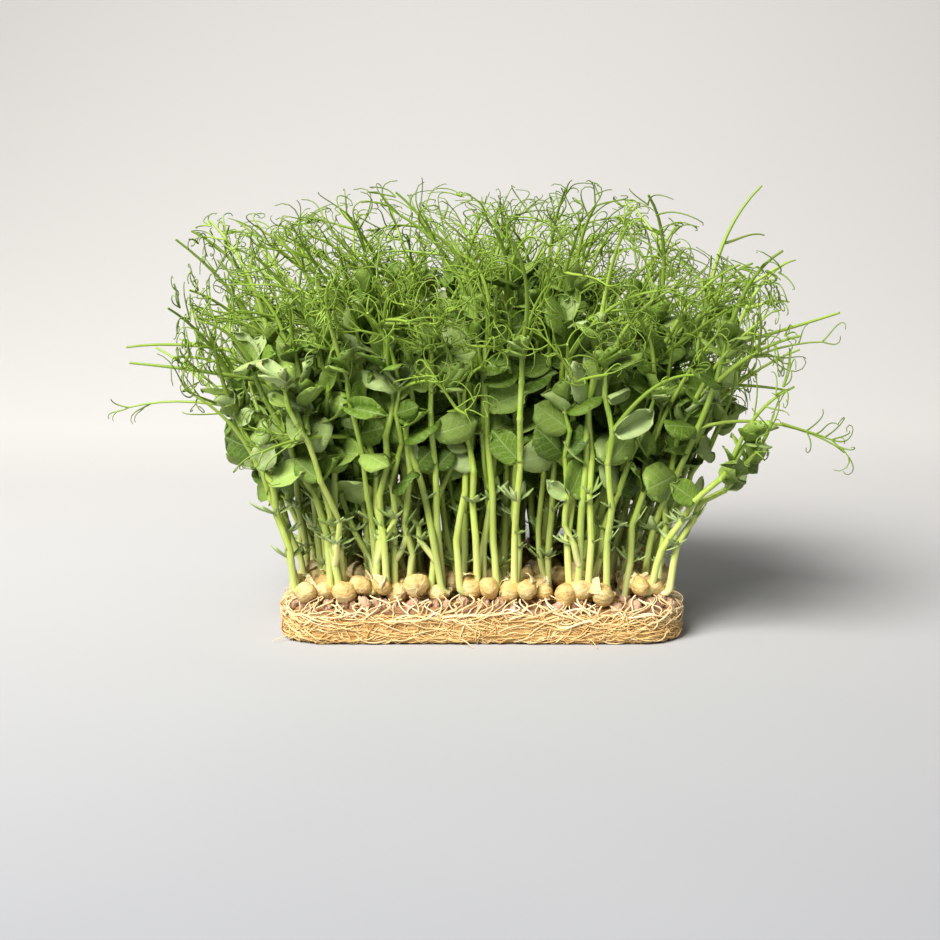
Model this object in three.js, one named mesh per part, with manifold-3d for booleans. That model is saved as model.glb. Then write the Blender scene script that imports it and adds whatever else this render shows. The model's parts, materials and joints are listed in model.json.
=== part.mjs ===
// A block of pea shoot microgreens, lifted whole out of its growing tray: a felted mat of roots, the
// swollen peas lying on it in rows, and leafy shoots that fan out above and end in branched tendrils.
// Millimetres, +Z up, +X along the block's front. The origin is the centre of the mat's underside.
import * as THREE from "three";
import { mergeVertices } from "three/addons/utils/BufferGeometryUtils.js";
import Module from "manifold-3d";

const wasm = await Module();
wasm.setup();

const mat = {
  length: 172,
  depth: 124,
  thickness: 15,
  cornerRadius: 20,
  edgeRound: 2.6,
  outlinePoints: 52,
  waveDepth: 0.9,
};
const rootLoops = { count: 11, radius: 0.9, reach: 3.2, run: 26, lowest: 4, highest: 11, sunk: 2.5 };
const peas = {
  radius: 5,
  flatness: 0.9,
  pitch: 7.8,
  perRow: 20,
  rowCentres: [-52, -26, 0, 26, 52],
  sway: 1.9,
  restGap: 0.35,
};
const lanes = { centres: [-39, -13, 13, 39], perLane: 8, pitch: 19.8, zigzag: 2.2, jitter: 1.2 };
const stems = {
  footZ: 11,
  footRadius: 1.7,
  tipRadius: 1.15,
  spreadX: 1.36,
  spreadY: 1.5,
  height: 148,
  sproutAt: 0.06,
  jointHalf: 0.009,
  holeRadius: 2.9,
  holeFloor: 10.6,
};
// Where a shoot carries its leaves and tendrils, as a share of its length.
const joints = [0.5, 0.68, 0.86];
// Blade shapes of the stipules: width as a share of length, and droop towards the tip.
const bladeForms = [
  { width: 0.82, droop: 0.16 },
  { width: 0.7, droop: 0.1 },
  { width: 0.9, droop: 0.3 },
  { width: 0.76, droop: 0.24 },
];
// The outline of a blade: how far along each step is, and its width there as a share of the widest.
const bladeOutline = [
  [0.28, 0.48],
  [0.64, 1],
  [1, 0.42],
];
const blades = { thickness: 0.75, shortest: 14, longest: 21, sway: 0.35, lowest: -0.25, steepest: 0.45 };
const tendrils = {
  radius: 0.75,
  tipRadius: 0.42,
  shortest: 34,
  longest: 58,
  forkHalf: 0.03,
  sway: 0.4,
  leftBy: 0.07,
  branchLeftBy: 0.13,
};
// The tendrils that stray furthest sideways: [lane, place in the lane, joint, tip].
const strays = [
  { lane: 0, place: 0, joint: 1, tip: [-153, -52, 100] },
  { lane: 0, place: 7, joint: 1, tip: [154, -50, 82] },
  { lane: 1, place: 7, joint: 1, tip: [152, -30, 128] },
];
const clearance = { stem: 1.9, tendril: 1.3, blade: 2.6, bladeFoot: 0.7, gap: 0.3, tries: 36, samples: 22 };

// Repeatable random numbers: a seed always gives the same draws.
function drawer(seed) {
  let count = 0;
  return (low = 0, high = 1) => {
    count += 1;
    let h = (Math.imul(seed, 0x9e3779b1) + Math.imul(count, 0x85ebca6b)) | 0;
    h = Math.imul(h ^ (h >>> 16), 0x7feb352d);
    h = Math.imul(h ^ (h >>> 15), 0x846ca68b);
    h = (h ^ (h >>> 16)) >>> 0;
    return low + ((high - low) * h) / 4294967296;
  };
}

// Solids and meshes

function solidFrom(geometry) {
  const bare = new THREE.BufferGeometry();
  bare.setAttribute("position", geometry.getAttribute("position"));
  bare.setIndex(geometry.getIndex());
  const merged = mergeVertices(bare, 1e-4);
  return new wasm.Manifold(
    new wasm.Mesh({
      numProp: 3,
      vertProperties: new Float32Array(merged.getAttribute("position").array),
      triVerts: new Uint32Array(merged.getIndex().array),
    }),
  );
}

// The outer body of a union, with any pocket that closed inside it filled and loose scraps dropped.
function largestBody(solid) {
  return solid.decompose().reduce((a, b) => (b.volume() > a.volume() ? b : a));
}

function geometryFrom(solid) {
  const made = solid.getMesh();
  const geometry = new THREE.BufferGeometry();
  geometry.setAttribute("position", new THREE.BufferAttribute(made.vertProperties, 3));
  geometry.setIndex(new THREE.BufferAttribute(made.triVerts, 1));
  geometry.computeVertexNormals();
  return geometry;
}

function named(name, geometry, material) {
  const mesh = new THREE.Mesh(geometry, material);
  mesh.name = name;
  return mesh;
}

// Skins: a plant is one closed surface, because each limb starts on a face of what carries it.

function addPoint(skin, point) {
  skin.points.push(point);
  return skin.points.length - 1;
}

function addTriangle(skin, a, b, c) {
  if (a !== b && b !== c && c !== a) skin.triangles.push(a, b, c);
}

// Opposite sides of a limb are split alike, so that a thin blade's two faces never meet.
function addQuad(skin, [a, b, c, d], side = 0) {
  if (side < 2) {
    addTriangle(skin, a, b, c);
    addTriangle(skin, a, c, d);
  } else {
    addTriangle(skin, a, b, d);
    addTriangle(skin, b, c, d);
  }
}

function addRing(skin, corners) {
  const ring = corners.map((corner) => addPoint(skin, corner));
  return ring.length === 3 ? [...ring, ring[2]] : ring;
}

// The base ring, started at the corner from which it runs straightest into the next ring.
function turnedTo(skin, base, ring) {
  const turns = [0, 1, 2, 3].map((turn) => base.map((corner, i) => base[(i + turn) % 4]));
  const stretch = (turned) =>
    turned.reduce((sum, corner, i) => sum + skin.points[corner].distanceTo(skin.points[ring[i]]), 0);
  return turns.reduce((a, b) => (stretch(b) < stretch(a) ? b : a));
}

// A limb runs from its base ring through the given rings to a capped tip, or on into the limb that its
// last bud grows. A bud takes the face of one side of one level, or with side "tip" the limb's end.
function addLimb(skin, base, rings, buds = []) {
  let lower = base;
  rings.forEach((corners, level) => {
    const upper = addRing(skin, corners);
    if (level === 0) lower = turnedTo(skin, base, upper);
    for (let side = 0; side < 4; side += 1) {
      const next = (side + 1) % 4;
      const face = [lower[side], lower[next], upper[next], upper[side]];
      const bud = buds.find((one) => one.level === level && one.side === side);
      if (bud) bud.grow(face);
      else addQuad(skin, face, side);
    }
    lower = upper;
  });
  const last = buds.find((one) => one.side === "tip");
  if (last) last.grow(lower);
  else addQuad(skin, lower);
}

// Rings of corners round a curve, turned as little as possible from one to the next. The middle of the
// first side looks the way given.
function ringsAlong(curve, stations, radiusAt, sides, facing) {
  let across = facing.clone();
  return stations.map((t) => {
    const centre = curve.getPoint(t);
    const tangent = curve.getTangent(t);
    across = across.clone().addScaledVector(tangent, -across.dot(tangent)).normalize();
    const corners = [];
    for (let i = 0; i < sides; i += 1) {
      const spoke = across.clone().applyAxisAngle(tangent, (2 * Math.PI * (i - 0.5)) / sides);
      corners.push(centre.clone().addScaledVector(spoke, radiusAt(t)));
    }
    return corners;
  });
}

function skinGeometry(skin) {
  const geometry = new THREE.BufferGeometry().setFromPoints(skin.points);
  geometry.setIndex(skin.triangles);
  geometry.computeVertexNormals();
  return geometry;
}

// Keeping limbs clear of each other: each is followed by balls from where it has left what carries it,
// the first of them smaller.

const occupied = [];

function isClear(balls, ignored = []) {
  const others = occupied.filter((other) => !ignored.includes(other));
  return balls.every((ball) =>
    others.every(
      (other) => ball.centre.distanceTo(other.centre) > ball.radius + other.radius + clearance.gap,
    ),
  );
}

function curveBalls(curve, radius, from = 0) {
  const balls = [];
  for (let i = 0; i <= clearance.samples; i += 1) {
    const t = from + ((1 - from) * i) / clearance.samples;
    balls.push({ centre: curve.getPoint(t), radius: from > 0 ? Math.min(radius, 0.4 + 0.25 * i) : radius });
  }
  return balls;
}

// Peas

function peaCentres(row) {
  const centres = [];
  for (let i = 0; i < peas.perRow; i += 1) {
    const x = (i - (peas.perRow - 1) / 2) * peas.pitch;
    const y = peas.rowCentres[row] + peas.sway * Math.sin(i * 0.32 + row * 1.9);
    const z = mat.thickness + peas.restGap + peas.radius * peas.flatness;
    centres.push(new THREE.Vector3(x, y, z));
  }
  return centres;
}

function peaRow(row) {
  const solids = peaCentres(row).map((centre) => {
    const pea = new THREE.SphereGeometry(peas.radius, 6, 3);
    pea.rotateX(Math.PI / 2);
    pea.scale(1, 1, peas.flatness);
    pea.translate(centre.x, centre.y, centre.z);
    return solidFrom(pea);
  });
  return largestBody(solids.reduce((a, b) => a.add(b)));
}

// Stems

function footOf(lane, place) {
  const draw = drawer(100 + lane * 20 + place);
  const side = (lane + place) % 2 === 0 ? 1 : -1;
  const x = (place - (lanes.perLane - 1) / 2) * lanes.pitch + draw(-lanes.jitter, lanes.jitter) * 1.5;
  const y = lanes.centres[lane] + side * lanes.zigzag + draw(-lanes.jitter, lanes.jitter);
  return new THREE.Vector3(x, y, stems.footZ);
}

function direction(azimuth, elevation) {
  return new THREE.Vector3(
    Math.cos(azimuth) * Math.cos(elevation),
    Math.sin(azimuth) * Math.cos(elevation),
    Math.sin(elevation),
  );
}

// Which way a plant looks: out of the block, with some play.
function outwardAngle(foot, draw) {
  const x = foot.x / (mat.length / 2);
  const y = foot.y / (mat.depth / 2);
  return Math.atan2(y + draw(-0.3, 0.3), x + draw(-0.3, 0.3));
}

function mainStem(number, foot) {
  const draw = drawer(1000 + number);
  const outX = foot.x / (mat.length / 2);
  const outY = foot.y / (mat.depth / 2);
  let curve;
  for (let i = 0; i < clearance.tries; i += 1) {
    const tip = new THREE.Vector3(
      foot.x * stems.spreadX + draw(-9, 9),
      foot.y * stems.spreadY + draw(-9, 9),
      stems.height - 22 * outX * outX - 8 * outY * outY + draw(-16, 8),
    );
    const lower = new THREE.Vector3(foot.x, foot.y, foot.z + 0.36 * tip.z);
    const upper = foot.clone().lerp(tip, 0.66).add(new THREE.Vector3(draw(-7, 7), draw(-7, 7), 0));
    curve = new THREE.CubicBezierCurve3(foot, lower, upper, tip);
    if (isClear(curveBalls(curve, clearance.stem))) return curve;
  }
  return curve;
}

// The side shoot leaves the main stem low down, from the left or right of the way the plant looks.
function sideStem(number, main, mainBalls, outward) {
  const draw = drawer(2000 + number);
  const start = main.getPoint(stems.sproutAt);
  const mainTip = main.getPoint(1);
  for (let i = 0; i < clearance.tries; i += 1) {
    const turn = draw() < 0.5 ? 1 : -1;
    const away = direction(outward + (turn * Math.PI) / 2, 0);
    const tip = mainTip.clone().addScaledVector(away, draw(8, 20));
    tip.add(new THREE.Vector3(draw(-9, 9), draw(-9, 9), -draw(4, 30)));
    const lower = start.clone().addScaledVector(away, 12).add(new THREE.Vector3(0, 0, 20));
    const upper = start.clone().lerp(tip, 0.66).add(new THREE.Vector3(draw(-6, 6), draw(-6, 6), 0));
    const curve = new THREE.CubicBezierCurve3(start, lower, upper, tip);
    const balls = curveBalls(curve, clearance.stem);
    const parted = curveBalls(curve, clearance.stem, 0.2);
    if (isClear(balls, mainBalls) && isClear(parted)) return { curve, turn };
  }
  return null;
}

// Leaves: flat blades that stand out from the sides of a joint and show their face outwards.

function bladePoint(blade, along, across) {
  const form = bladeForms[blade.form];
  return blade.foot
    .clone()
    .addScaledVector(blade.axis, along * blade.length)
    .addScaledVector(blade.side, (across * form.width * blade.length) / 2)
    .addScaledVector(blade.normal, -form.droop * along * along * blade.length);
}

function bladeBalls(blade) {
  const balls = [];
  const [[foot, footWidth]] = bladeOutline;
  for (const [along, reach, radius] of [
    [foot, footWidth, clearance.bladeFoot],
    [0.46, 0.75, clearance.blade],
    [0.64, 0.85, clearance.blade],
    [0.82, 0.7, clearance.blade],
    [1, 0.3, clearance.blade],
  ]) {
    for (const across of [-1, -0.5, 0, 0.5, 1]) {
      balls.push({ centre: bladePoint(blade, along, across * reach), radius });
    }
  }
  return balls;
}

function growBlade(stem, t, turn, outward, seed) {
  const draw = drawer(seed);
  for (let i = 0; i < clearance.tries; i += 1) {
    const azimuth = outward + turn * (Math.PI / 2) + draw(-blades.sway, blades.sway);
    const axis = direction(azimuth, draw(blades.lowest, blades.steepest));
    const face = direction(outward, draw(0.1, 1.1));
    const side = face.clone().cross(axis).normalize();
    const roll = draw(-0.5, 0.5);
    side.applyAxisAngle(axis, roll);
    const normal = axis.clone().cross(side);
    const length = draw(blades.shortest, blades.longest) * (1 - 0.012 * i);
    const form = Math.floor(draw(0, bladeForms.length));
    const blade = { foot: stem.getPoint(t), axis, side, normal, length, form };
    if (isClear(bladeBalls(blade))) return blade;
  }
  return null;
}

function bladeRings(blade) {
  return bladeOutline.map(([along, width]) => {
    const corners = [];
    for (const [across, lift] of [
      [width, -0.5],
      [width, 0.5],
      [-width, 0.5],
      [-width, -0.5],
    ]) {
      const corner = bladePoint(blade, along, across);
      corners.push(corner.addScaledVector(blade.normal, lift * blades.thickness));
    }
    return corners;
  });
}

// Tendrils

function growTendril(stem, t, outward, seed) {
  const draw = drawer(seed);
  const start = stem.getPoint(t);
  if (t < 1) start.addScaledVector(direction(outward, 0), stems.tipRadius);
  for (let i = 0; i < clearance.tries; i += 1) {
    const azimuth = outward + draw(-tendrils.sway, tendrils.sway);
    const rise = t === 1 ? draw(0.85, 1.5) : draw(0.1, 0.8);
    const ahead = direction(azimuth, rise);
    const length = draw(tendrils.shortest, tendrils.longest) * (1 - 0.015 * i);
    const bend = direction(azimuth + draw(-1.6, 1.6), draw(-0.6, 0.4));
    const curve = new THREE.CubicBezierCurve3(
      start,
      start.clone().addScaledVector(ahead, 0.36 * length),
      start.clone().addScaledVector(ahead, 0.72 * length).addScaledVector(bend, 0.06 * length),
      start.clone().addScaledVector(ahead, 0.93 * length).addScaledVector(bend, 0.36 * length),
    );
    if (isClear(curveBalls(curve, clearance.tendril, tendrils.leftBy))) return curve;
  }
  return null;
}

function strayTendril(stem, t, tip) {
  const start = stem.getPoint(t);
  const end = new THREE.Vector3(...tip);
  const lift = new THREE.Vector3(0, 0, 9);
  return new THREE.CubicBezierCurve3(
    start,
    start.clone().lerp(end, 0.3).add(lift),
    start.clone().lerp(end, 0.7).add(lift),
    end,
  );
}

// A tendril forks once: the branch leaves it from one of its sides.
function growBranch(parent, seed) {
  const draw = drawer(seed);
  const fork = draw(0.42, 0.6);
  const start = parent.getPoint(fork);
  const along = parent.getTangent(fork);
  for (let i = 0; i < clearance.tries; i += 1) {
    const aside = direction(draw(0, 2 * Math.PI), draw(-0.3, 0.9));
    aside.addScaledVector(along, -aside.dot(along)).normalize();
    const length = draw(16, 28);
    const curve = new THREE.CubicBezierCurve3(
      start,
      start.clone().addScaledVector(along, 0.15 * length).addScaledVector(aside, 0.3 * length),
      start.clone().addScaledVector(along, 0.45 * length).addScaledVector(aside, 0.55 * length),
      start.clone().addScaledVector(along, 0.5 * length).addScaledVector(aside, 0.95 * length),
    );
    if (isClear(curveBalls(curve, clearance.tendril, tendrils.branchLeftBy))) return { curve, fork, aside };
  }
  return null;
}

// Growing the whole block: stems first, then leaves, then tendrils, so that each stays clear.

// The blades of the main stem and of the side shoot: [joint, side of the stem].
const bladePlaces = [
  [
    [0, 1],
    [1, 1],
    [1, -1],
    [2, -1],
  ],
  [
    [1, 1],
    [2, -1],
  ],
];
// Their tendrils, by where on the shoot they start, 1 being its own tip.
const tendrilPlaces = [[1, joints[2], joints[1]], [1]];

function growLeaves(plant) {
  plant.shoots.forEach((stem, shoot) => {
    bladePlaces[shoot].forEach(([joint, turn], order) => {
      const seed = 10000 + plant.number * 40 + shoot * 20 + order;
      const blade = growBlade(stem, joints[joint], turn, plant.outward, seed);
      if (!blade) return;
      occupied.push(...bladeBalls(blade));
      plant.leaves.push({ blade, shoot, joint, turn });
    });
  });
}

function addTendril(plant, curve, shoot, t, seed) {
  occupied.push(...curveBalls(curve, clearance.tendril, tendrils.leftBy));
  const branch = growBranch(curve, seed);
  if (branch) occupied.push(...curveBalls(branch.curve, clearance.tendril, tendrils.branchLeftBy));
  plant.tendrils.push({ curve, branch, shoot, t });
}

function growTendrils(plant) {
  plant.shoots.forEach((stem, shoot) => {
    tendrilPlaces[shoot].forEach((t, order) => {
      if (plant.tendrils.some((other) => other.shoot === shoot && other.t === t)) return;
      const seed = 20000 + plant.number * 40 + shoot * 20 + order;
      const curve = growTendril(stem, t, plant.outward, seed);
      if (curve) addTendril(plant, curve, shoot, t, seed + 10);
    });
  });
}

function growPlants() {
  peas.rowCentres.forEach((y, row) => {
    occupied.push(...peaCentres(row).map((centre) => ({ centre, radius: peas.radius })));
  });
  const plants = [];
  lanes.centres.forEach((y, lane) => {
    for (let place = 0; place < lanes.perLane; place += 1) {
      const number = plants.length;
      const foot = footOf(lane, place);
      const outward = outwardAngle(foot, drawer(3000 + number));
      plants.push({ number, lane, place, foot, outward, shoots: [], turn: 0, leaves: [], tendrils: [] });
    }
  });
  for (const plant of plants) {
    const main = mainStem(plant.number, plant.foot);
    plant.mainBalls = curveBalls(main, clearance.stem);
    occupied.push(...plant.mainBalls);
    plant.shoots.push(main);
  }
  for (const plant of plants) {
    const side = sideStem(plant.number, plant.shoots[0], plant.mainBalls, plant.outward);
    if (!side) continue;
    occupied.push(...curveBalls(side.curve, clearance.stem, 0.1));
    plant.shoots.push(side.curve);
    plant.turn = side.turn;
  }
  for (const plant of plants) {
    for (const stray of strays) {
      if (stray.lane !== plant.lane || stray.place !== plant.place) continue;
      const t = joints[stray.joint];
      addTendril(plant, strayTendril(plant.shoots[0], t, stray.tip), 0, t, 30000 + plant.number);
    }
  }
  for (const plant of plants) growLeaves(plant);
  for (const plant of plants) growTendrils(plant);
  return plants;
}

// The skin of a plant

function addBranch(skin, face, { curve, aside }) {
  const rings = ringsAlong(curve, [0.45, 1], () => tendrils.tipRadius, 3, aside);
  addLimb(skin, face, rings);
}

function addTendrilLimb(skin, base, { curve, branch }) {
  const radiusAt = (t) => tendrils.radius + (tendrils.tipRadius - tendrils.radius) * t;
  const start = curve.getTangent(0);
  const facing = branch ? branch.aside : new THREE.Vector3(start.y, -start.x, start.z + 0.5);
  const stations = [0.12, 1];
  const buds = [];
  if (branch) {
    stations.splice(1, 0, branch.fork - tendrils.forkHalf, branch.fork + tendrils.forkHalf);
    buds.push({ level: 2, side: 0, grow: (face) => addBranch(skin, face, branch) });
  }
  addLimb(skin, base, ringsAlong(curve, stations, radiusAt, 3, facing), buds);
}

// The side of a stem that looks the way given, counted from the side that looks outwards.
const sideOf = { 1: 1, "-1": 3, 0: 0 };

function addShoot(skin, base, plant, shoot, footStations) {
  const curve = plant.shoots[shoot];
  const stations = [...footStations];
  const buds = [];
  joints.forEach((t, joint) => {
    const leaves = plant.leaves.filter((leaf) => leaf.shoot === shoot && leaf.joint === joint);
    const sprouts = plant.tendrils.filter((tendril) => tendril.shoot === shoot && tendril.t === t);
    if (leaves.length + sprouts.length === 0) return;
    stations.push(t - stems.jointHalf, t + stems.jointHalf);
    const level = stations.length - 1;
    for (const { blade, turn } of leaves) {
      buds.push({ level, side: sideOf[turn], grow: (face) => addLimb(skin, face, bladeRings(blade)) });
    }
    for (const tendril of sprouts) {
      buds.push({ level, side: sideOf[0], grow: (face) => addTendrilLimb(skin, face, tendril) });
    }
  });
  if (shoot === 0 && plant.shoots.length > 1) {
    const grow = (face) => addShoot(skin, face, plant, 1, [0.14, 0.4]);
    buds.push({ level: 1, side: sideOf[plant.turn], grow });
  }
  const last = plant.tendrils.find((tendril) => tendril.shoot === shoot && tendril.t === 1);
  if (last) buds.push({ side: "tip", grow: (face) => addTendrilLimb(skin, face, last) });
  stations.push(1);
  const radiusAt = (t) => stems.footRadius + (stems.tipRadius - stems.footRadius) * t;
  const facing = direction(plant.outward, 0);
  addLimb(skin, base, ringsAlong(curve, stations, radiusAt, 4, facing), buds);
}

function plantSkin(plant) {
  const skin = { points: [], triangles: [] };
  const facing = direction(plant.outward, 0);
  const [corners] = ringsAlong(plant.shoots[0], [0], () => stems.footRadius, 4, facing);
  const foot = addRing(skin, corners);
  addQuad(skin, [...foot].reverse());
  const sprout = [stems.sproutAt - stems.jointHalf, stems.sproutAt + stems.jointHalf];
  addShoot(skin, foot, plant, 0, [...sprout, 0.28]);
  return skin;
}

// Root mat

// A point on the mat's rounded outline, set in from its edge, and the way out from it.
function outlinePoint(share, inset = 0) {
  const halfX = mat.length / 2 - mat.cornerRadius;
  const halfY = mat.depth / 2 - mat.cornerRadius;
  const arc = (Math.PI / 2) * mat.cornerRadius;
  const total = 4 * (halfX + halfY + arc);
  const radius = mat.cornerRadius - inset;
  let run = (((share % 1) + 1) % 1) * total;
  const sides = [
    { length: 2 * halfX, from: [-halfX, -halfY], along: [1, 0], out: -Math.PI / 2 },
    { length: 2 * halfY, from: [halfX, -halfY], along: [0, 1], out: 0 },
    { length: 2 * halfX, from: [halfX, halfY], along: [-1, 0], out: Math.PI / 2 },
    { length: 2 * halfY, from: [-halfX, halfY], along: [0, -1], out: Math.PI },
  ];
  for (const side of sides) {
    const straight = Math.min(run, side.length);
    run -= side.length;
    const turned = Math.min(Math.max(run / mat.cornerRadius, 0), Math.PI / 2);
    if (run < arc) {
      const angle = side.out + turned;
      return {
        x: side.from[0] + side.along[0] * straight + radius * Math.cos(angle),
        y: side.from[1] + side.along[1] * straight + radius * Math.sin(angle),
        angle,
      };
    }
    run -= arc;
  }
  return outlinePoint(0, inset);
}

// The slanting swells that the felted roots press into the sides, none at the top and the bottom.
function sideWave(x, y, z) {
  const round = Math.atan2(y / mat.depth, x / mat.length);
  const swell = 0.6 * Math.sin(31 * round + 0.5 * z) + 0.4 * Math.sin(19 * round - 0.8 * z + 1.3);
  return swell * Math.sin((Math.PI * z) / mat.thickness);
}

function matSlab() {
  const outline = [];
  for (let i = 0; i < mat.outlinePoints; i += 1) {
    const point = outlinePoint(i / mat.outlinePoints, mat.edgeRound);
    outline.push(new THREE.Vector2(point.x, point.y));
  }
  const slab = new THREE.ExtrudeGeometry(new THREE.Shape(outline), {
    depth: mat.thickness - 2 * mat.edgeRound,
    steps: 2,
    bevelEnabled: true,
    bevelThickness: mat.edgeRound,
    bevelSize: mat.edgeRound,
    bevelSegments: 1,
  });
  slab.translate(0, 0, mat.edgeRound);
  const position = slab.getAttribute("position");
  for (let i = 0; i < position.count; i += 1) {
    const x = position.getX(i);
    const y = position.getY(i);
    const z = position.getZ(i);
    const swell = 1 + (mat.waveDepth * sideWave(x, y, z)) / Math.hypot(x, y);
    position.setXYZ(i, x * swell, y * swell, z);
  }
  return solidFrom(slab);
}

// A loose root that bows out of the mat's side and goes back in further along.
function rootLoop(number) {
  const draw = drawer(500 + number);
  const from = (number + draw(-0.3, 0.3)) / rootLoops.count;
  const run = (rootLoops.run * draw(0.6, 1.2)) / (2 * (mat.length + mat.depth));
  const heights = [0, 1, 2, 3].map(() => draw(rootLoops.lowest, rootLoops.highest));
  const { reach: out, sunk } = rootLoops;
  const points = [-sunk, out, out, -sunk].map((reach, i) => {
    const spot = outlinePoint(from + (run * i) / 3, -reach);
    return new THREE.Vector3(spot.x, spot.y, heights[i]);
  });
  const section = new THREE.Shape();
  for (const angle of [0, 2.1, 4.2]) {
    section.lineTo(rootLoops.radius * Math.cos(angle), rootLoops.radius * Math.sin(angle));
  }
  const curve = new THREE.CubicBezierCurve3(...points);
  const tube = new THREE.ExtrudeGeometry(section, { extrudePath: curve, steps: 4, bevelEnabled: false });
  return solidFrom(tube);
}

function matSolid(plants) {
  let solid = matSlab();
  for (let i = 0; i < rootLoops.count; i += 1) solid = solid.add(rootLoop(i));
  for (const plant of plants) {
    const depth = mat.thickness - stems.holeFloor + 1;
    const hole = new THREE.CylinderGeometry(stems.holeRadius, stems.holeRadius, depth, 4);
    hole.rotateX(Math.PI / 2);
    hole.translate(plant.foot.x, plant.foot.y, stems.holeFloor + depth / 2);
    solid = solid.subtract(solidFrom(hole));
  }
  return largestBody(solid);
}

const materials = {
  roots: new THREE.MeshStandardMaterial({ color: "#d9b577", roughness: 0.85, metalness: 0 }),
  peas: new THREE.MeshStandardMaterial({ color: "#e3d3a4", roughness: 0.5, metalness: 0 }),
  shoots: new THREE.MeshStandardMaterial({ color: "#7fae4c", roughness: 0.55, metalness: 0 }),
};

const plants = growPlants();
const block = new THREE.Group();
block.add(named("root_mat", geometryFrom(matSolid(plants)), materials.roots));
peas.rowCentres.forEach((y, row) => {
  block.add(named(`pea_row_${row + 1}`, geometryFrom(peaRow(row)), materials.peas));
});
for (const plant of plants) {
  const name = `shoot_${String(plant.number + 1).padStart(2, "0")}`;
  block.add(named(name, skinGeometry(plantSkin(plant)), materials.shoots));
}

export default block;
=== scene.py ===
import json
import math

import bpy
import numpy as np
from mathutils import Matrix, Quaternion, Vector, noise

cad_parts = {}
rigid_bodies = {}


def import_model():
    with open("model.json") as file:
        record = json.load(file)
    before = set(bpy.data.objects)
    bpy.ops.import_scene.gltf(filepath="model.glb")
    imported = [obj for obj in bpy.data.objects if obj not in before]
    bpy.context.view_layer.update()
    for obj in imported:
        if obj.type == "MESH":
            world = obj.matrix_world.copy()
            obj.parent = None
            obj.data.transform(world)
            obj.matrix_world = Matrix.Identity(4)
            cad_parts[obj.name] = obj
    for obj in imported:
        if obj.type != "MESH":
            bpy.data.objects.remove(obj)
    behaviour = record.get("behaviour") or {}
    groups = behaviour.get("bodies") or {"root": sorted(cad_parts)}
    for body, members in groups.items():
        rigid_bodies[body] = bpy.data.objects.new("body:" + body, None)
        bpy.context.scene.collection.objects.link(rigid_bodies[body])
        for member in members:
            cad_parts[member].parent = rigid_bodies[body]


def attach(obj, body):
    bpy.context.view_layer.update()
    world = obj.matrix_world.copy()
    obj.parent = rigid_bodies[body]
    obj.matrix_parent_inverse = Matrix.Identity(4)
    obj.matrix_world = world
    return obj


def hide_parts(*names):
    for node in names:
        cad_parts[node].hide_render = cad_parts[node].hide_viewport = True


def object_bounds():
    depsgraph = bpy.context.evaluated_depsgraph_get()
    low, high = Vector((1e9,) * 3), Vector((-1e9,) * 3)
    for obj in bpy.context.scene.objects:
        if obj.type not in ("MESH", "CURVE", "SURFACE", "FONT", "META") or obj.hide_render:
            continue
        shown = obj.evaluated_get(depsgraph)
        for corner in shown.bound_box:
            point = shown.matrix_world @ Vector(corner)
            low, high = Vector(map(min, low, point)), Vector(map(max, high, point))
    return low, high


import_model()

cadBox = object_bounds()
print("pea shoots: frame loaded")

# Everything is grown in millimetres and put into its mesh in metres.
mm = 0.001

# The block's driving sizes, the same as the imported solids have.
matSize = {"length": 172, "depth": 124, "thickness": 15, "cornerRadius": 20}
peaSize = {"radius": 5, "flatness": 0.9, "pitch": 7.8, "perRow": 20, "rowCentres": [-52, -26, 0, 26, 52],
           "sway": 1.9, "restGap": 0.35}
lanes = {"centres": [-39, -13, 13, 39], "perLane": 8, "pitch": 19.8, "zigzag": 2.2,
         "jitterX": 1.8, "jitterY": 1.2}
stemSize = {"footZ": 11.0, "tipRadius": 1.15, "spreadX": 1.36, "spreadY": 1.5, "height": 148, "tipSway": 9,
            "fallX": 22, "fallY": 8, "heightSway": [-16, 8], "rise": 0.36, "upperAt": 0.66, "upperSway": 7}
sideSize = {"sproutAt": 0.06, "apart": [8, 20], "tipSway": 9, "fall": [4, 30], "bowOut": 12, "bowUp": 20,
            "upperAt": 0.66, "upperSway": 6, "parted": 0.2, "ownFrom": 0.1}
# Where a shoot carries its leaves and tendrils, as a share of its length.
joints = [0.5, 0.68, 0.86]
bladeForms = [{"width": 0.82, "droop": 0.16}, {"width": 0.7, "droop": 0.1},
              {"width": 0.9, "droop": 0.3}, {"width": 0.76, "droop": 0.24}]
bladeSize = {"length": [14, 21], "sway": 0.35, "rise": [-0.25, 0.45], "faceRise": [0.1, 1.1], "roll": 0.5,
             "shrink": 0.012}
tendrilSize = {"length": [34, 58], "sway": 0.4, "topRise": [0.85, 1.5], "sideRise": [0.1, 0.8],
               "bendTurn": 1.6, "bendRise": [-0.6, 0.4], "shrink": 0.015, "leftBy": 0.07, "strayLift": 9.0}
branchSize = {"length": [16, 28], "forkAt": [0.42, 0.6], "rise": [-0.3, 0.9], "leftBy": 0.13}
strays = [{"lane": 0, "place": 0, "joint": 1, "tip": [-153, -52, 100]},
          {"lane": 0, "place": 7, "joint": 1, "tip": [154, -50, 82]},
          {"lane": 1, "place": 7, "joint": 1, "tip": [152, -30, 128]}]
# How far growing parts keep apart. A blade's rows are given by how far along and how wide, and a radius.
clearance = {"stem": 1.9, "tendril": 1.3, "gap": 0.3, "tries": 36, "samples": 22,
             "bladeRows": [[0.28, 0.48, 0.7], [0.46, 0.75, 2.6], [0.64, 0.85, 2.6], [0.82, 0.7, 2.6],
                           [1, 0.3, 2.6]]}

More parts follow.
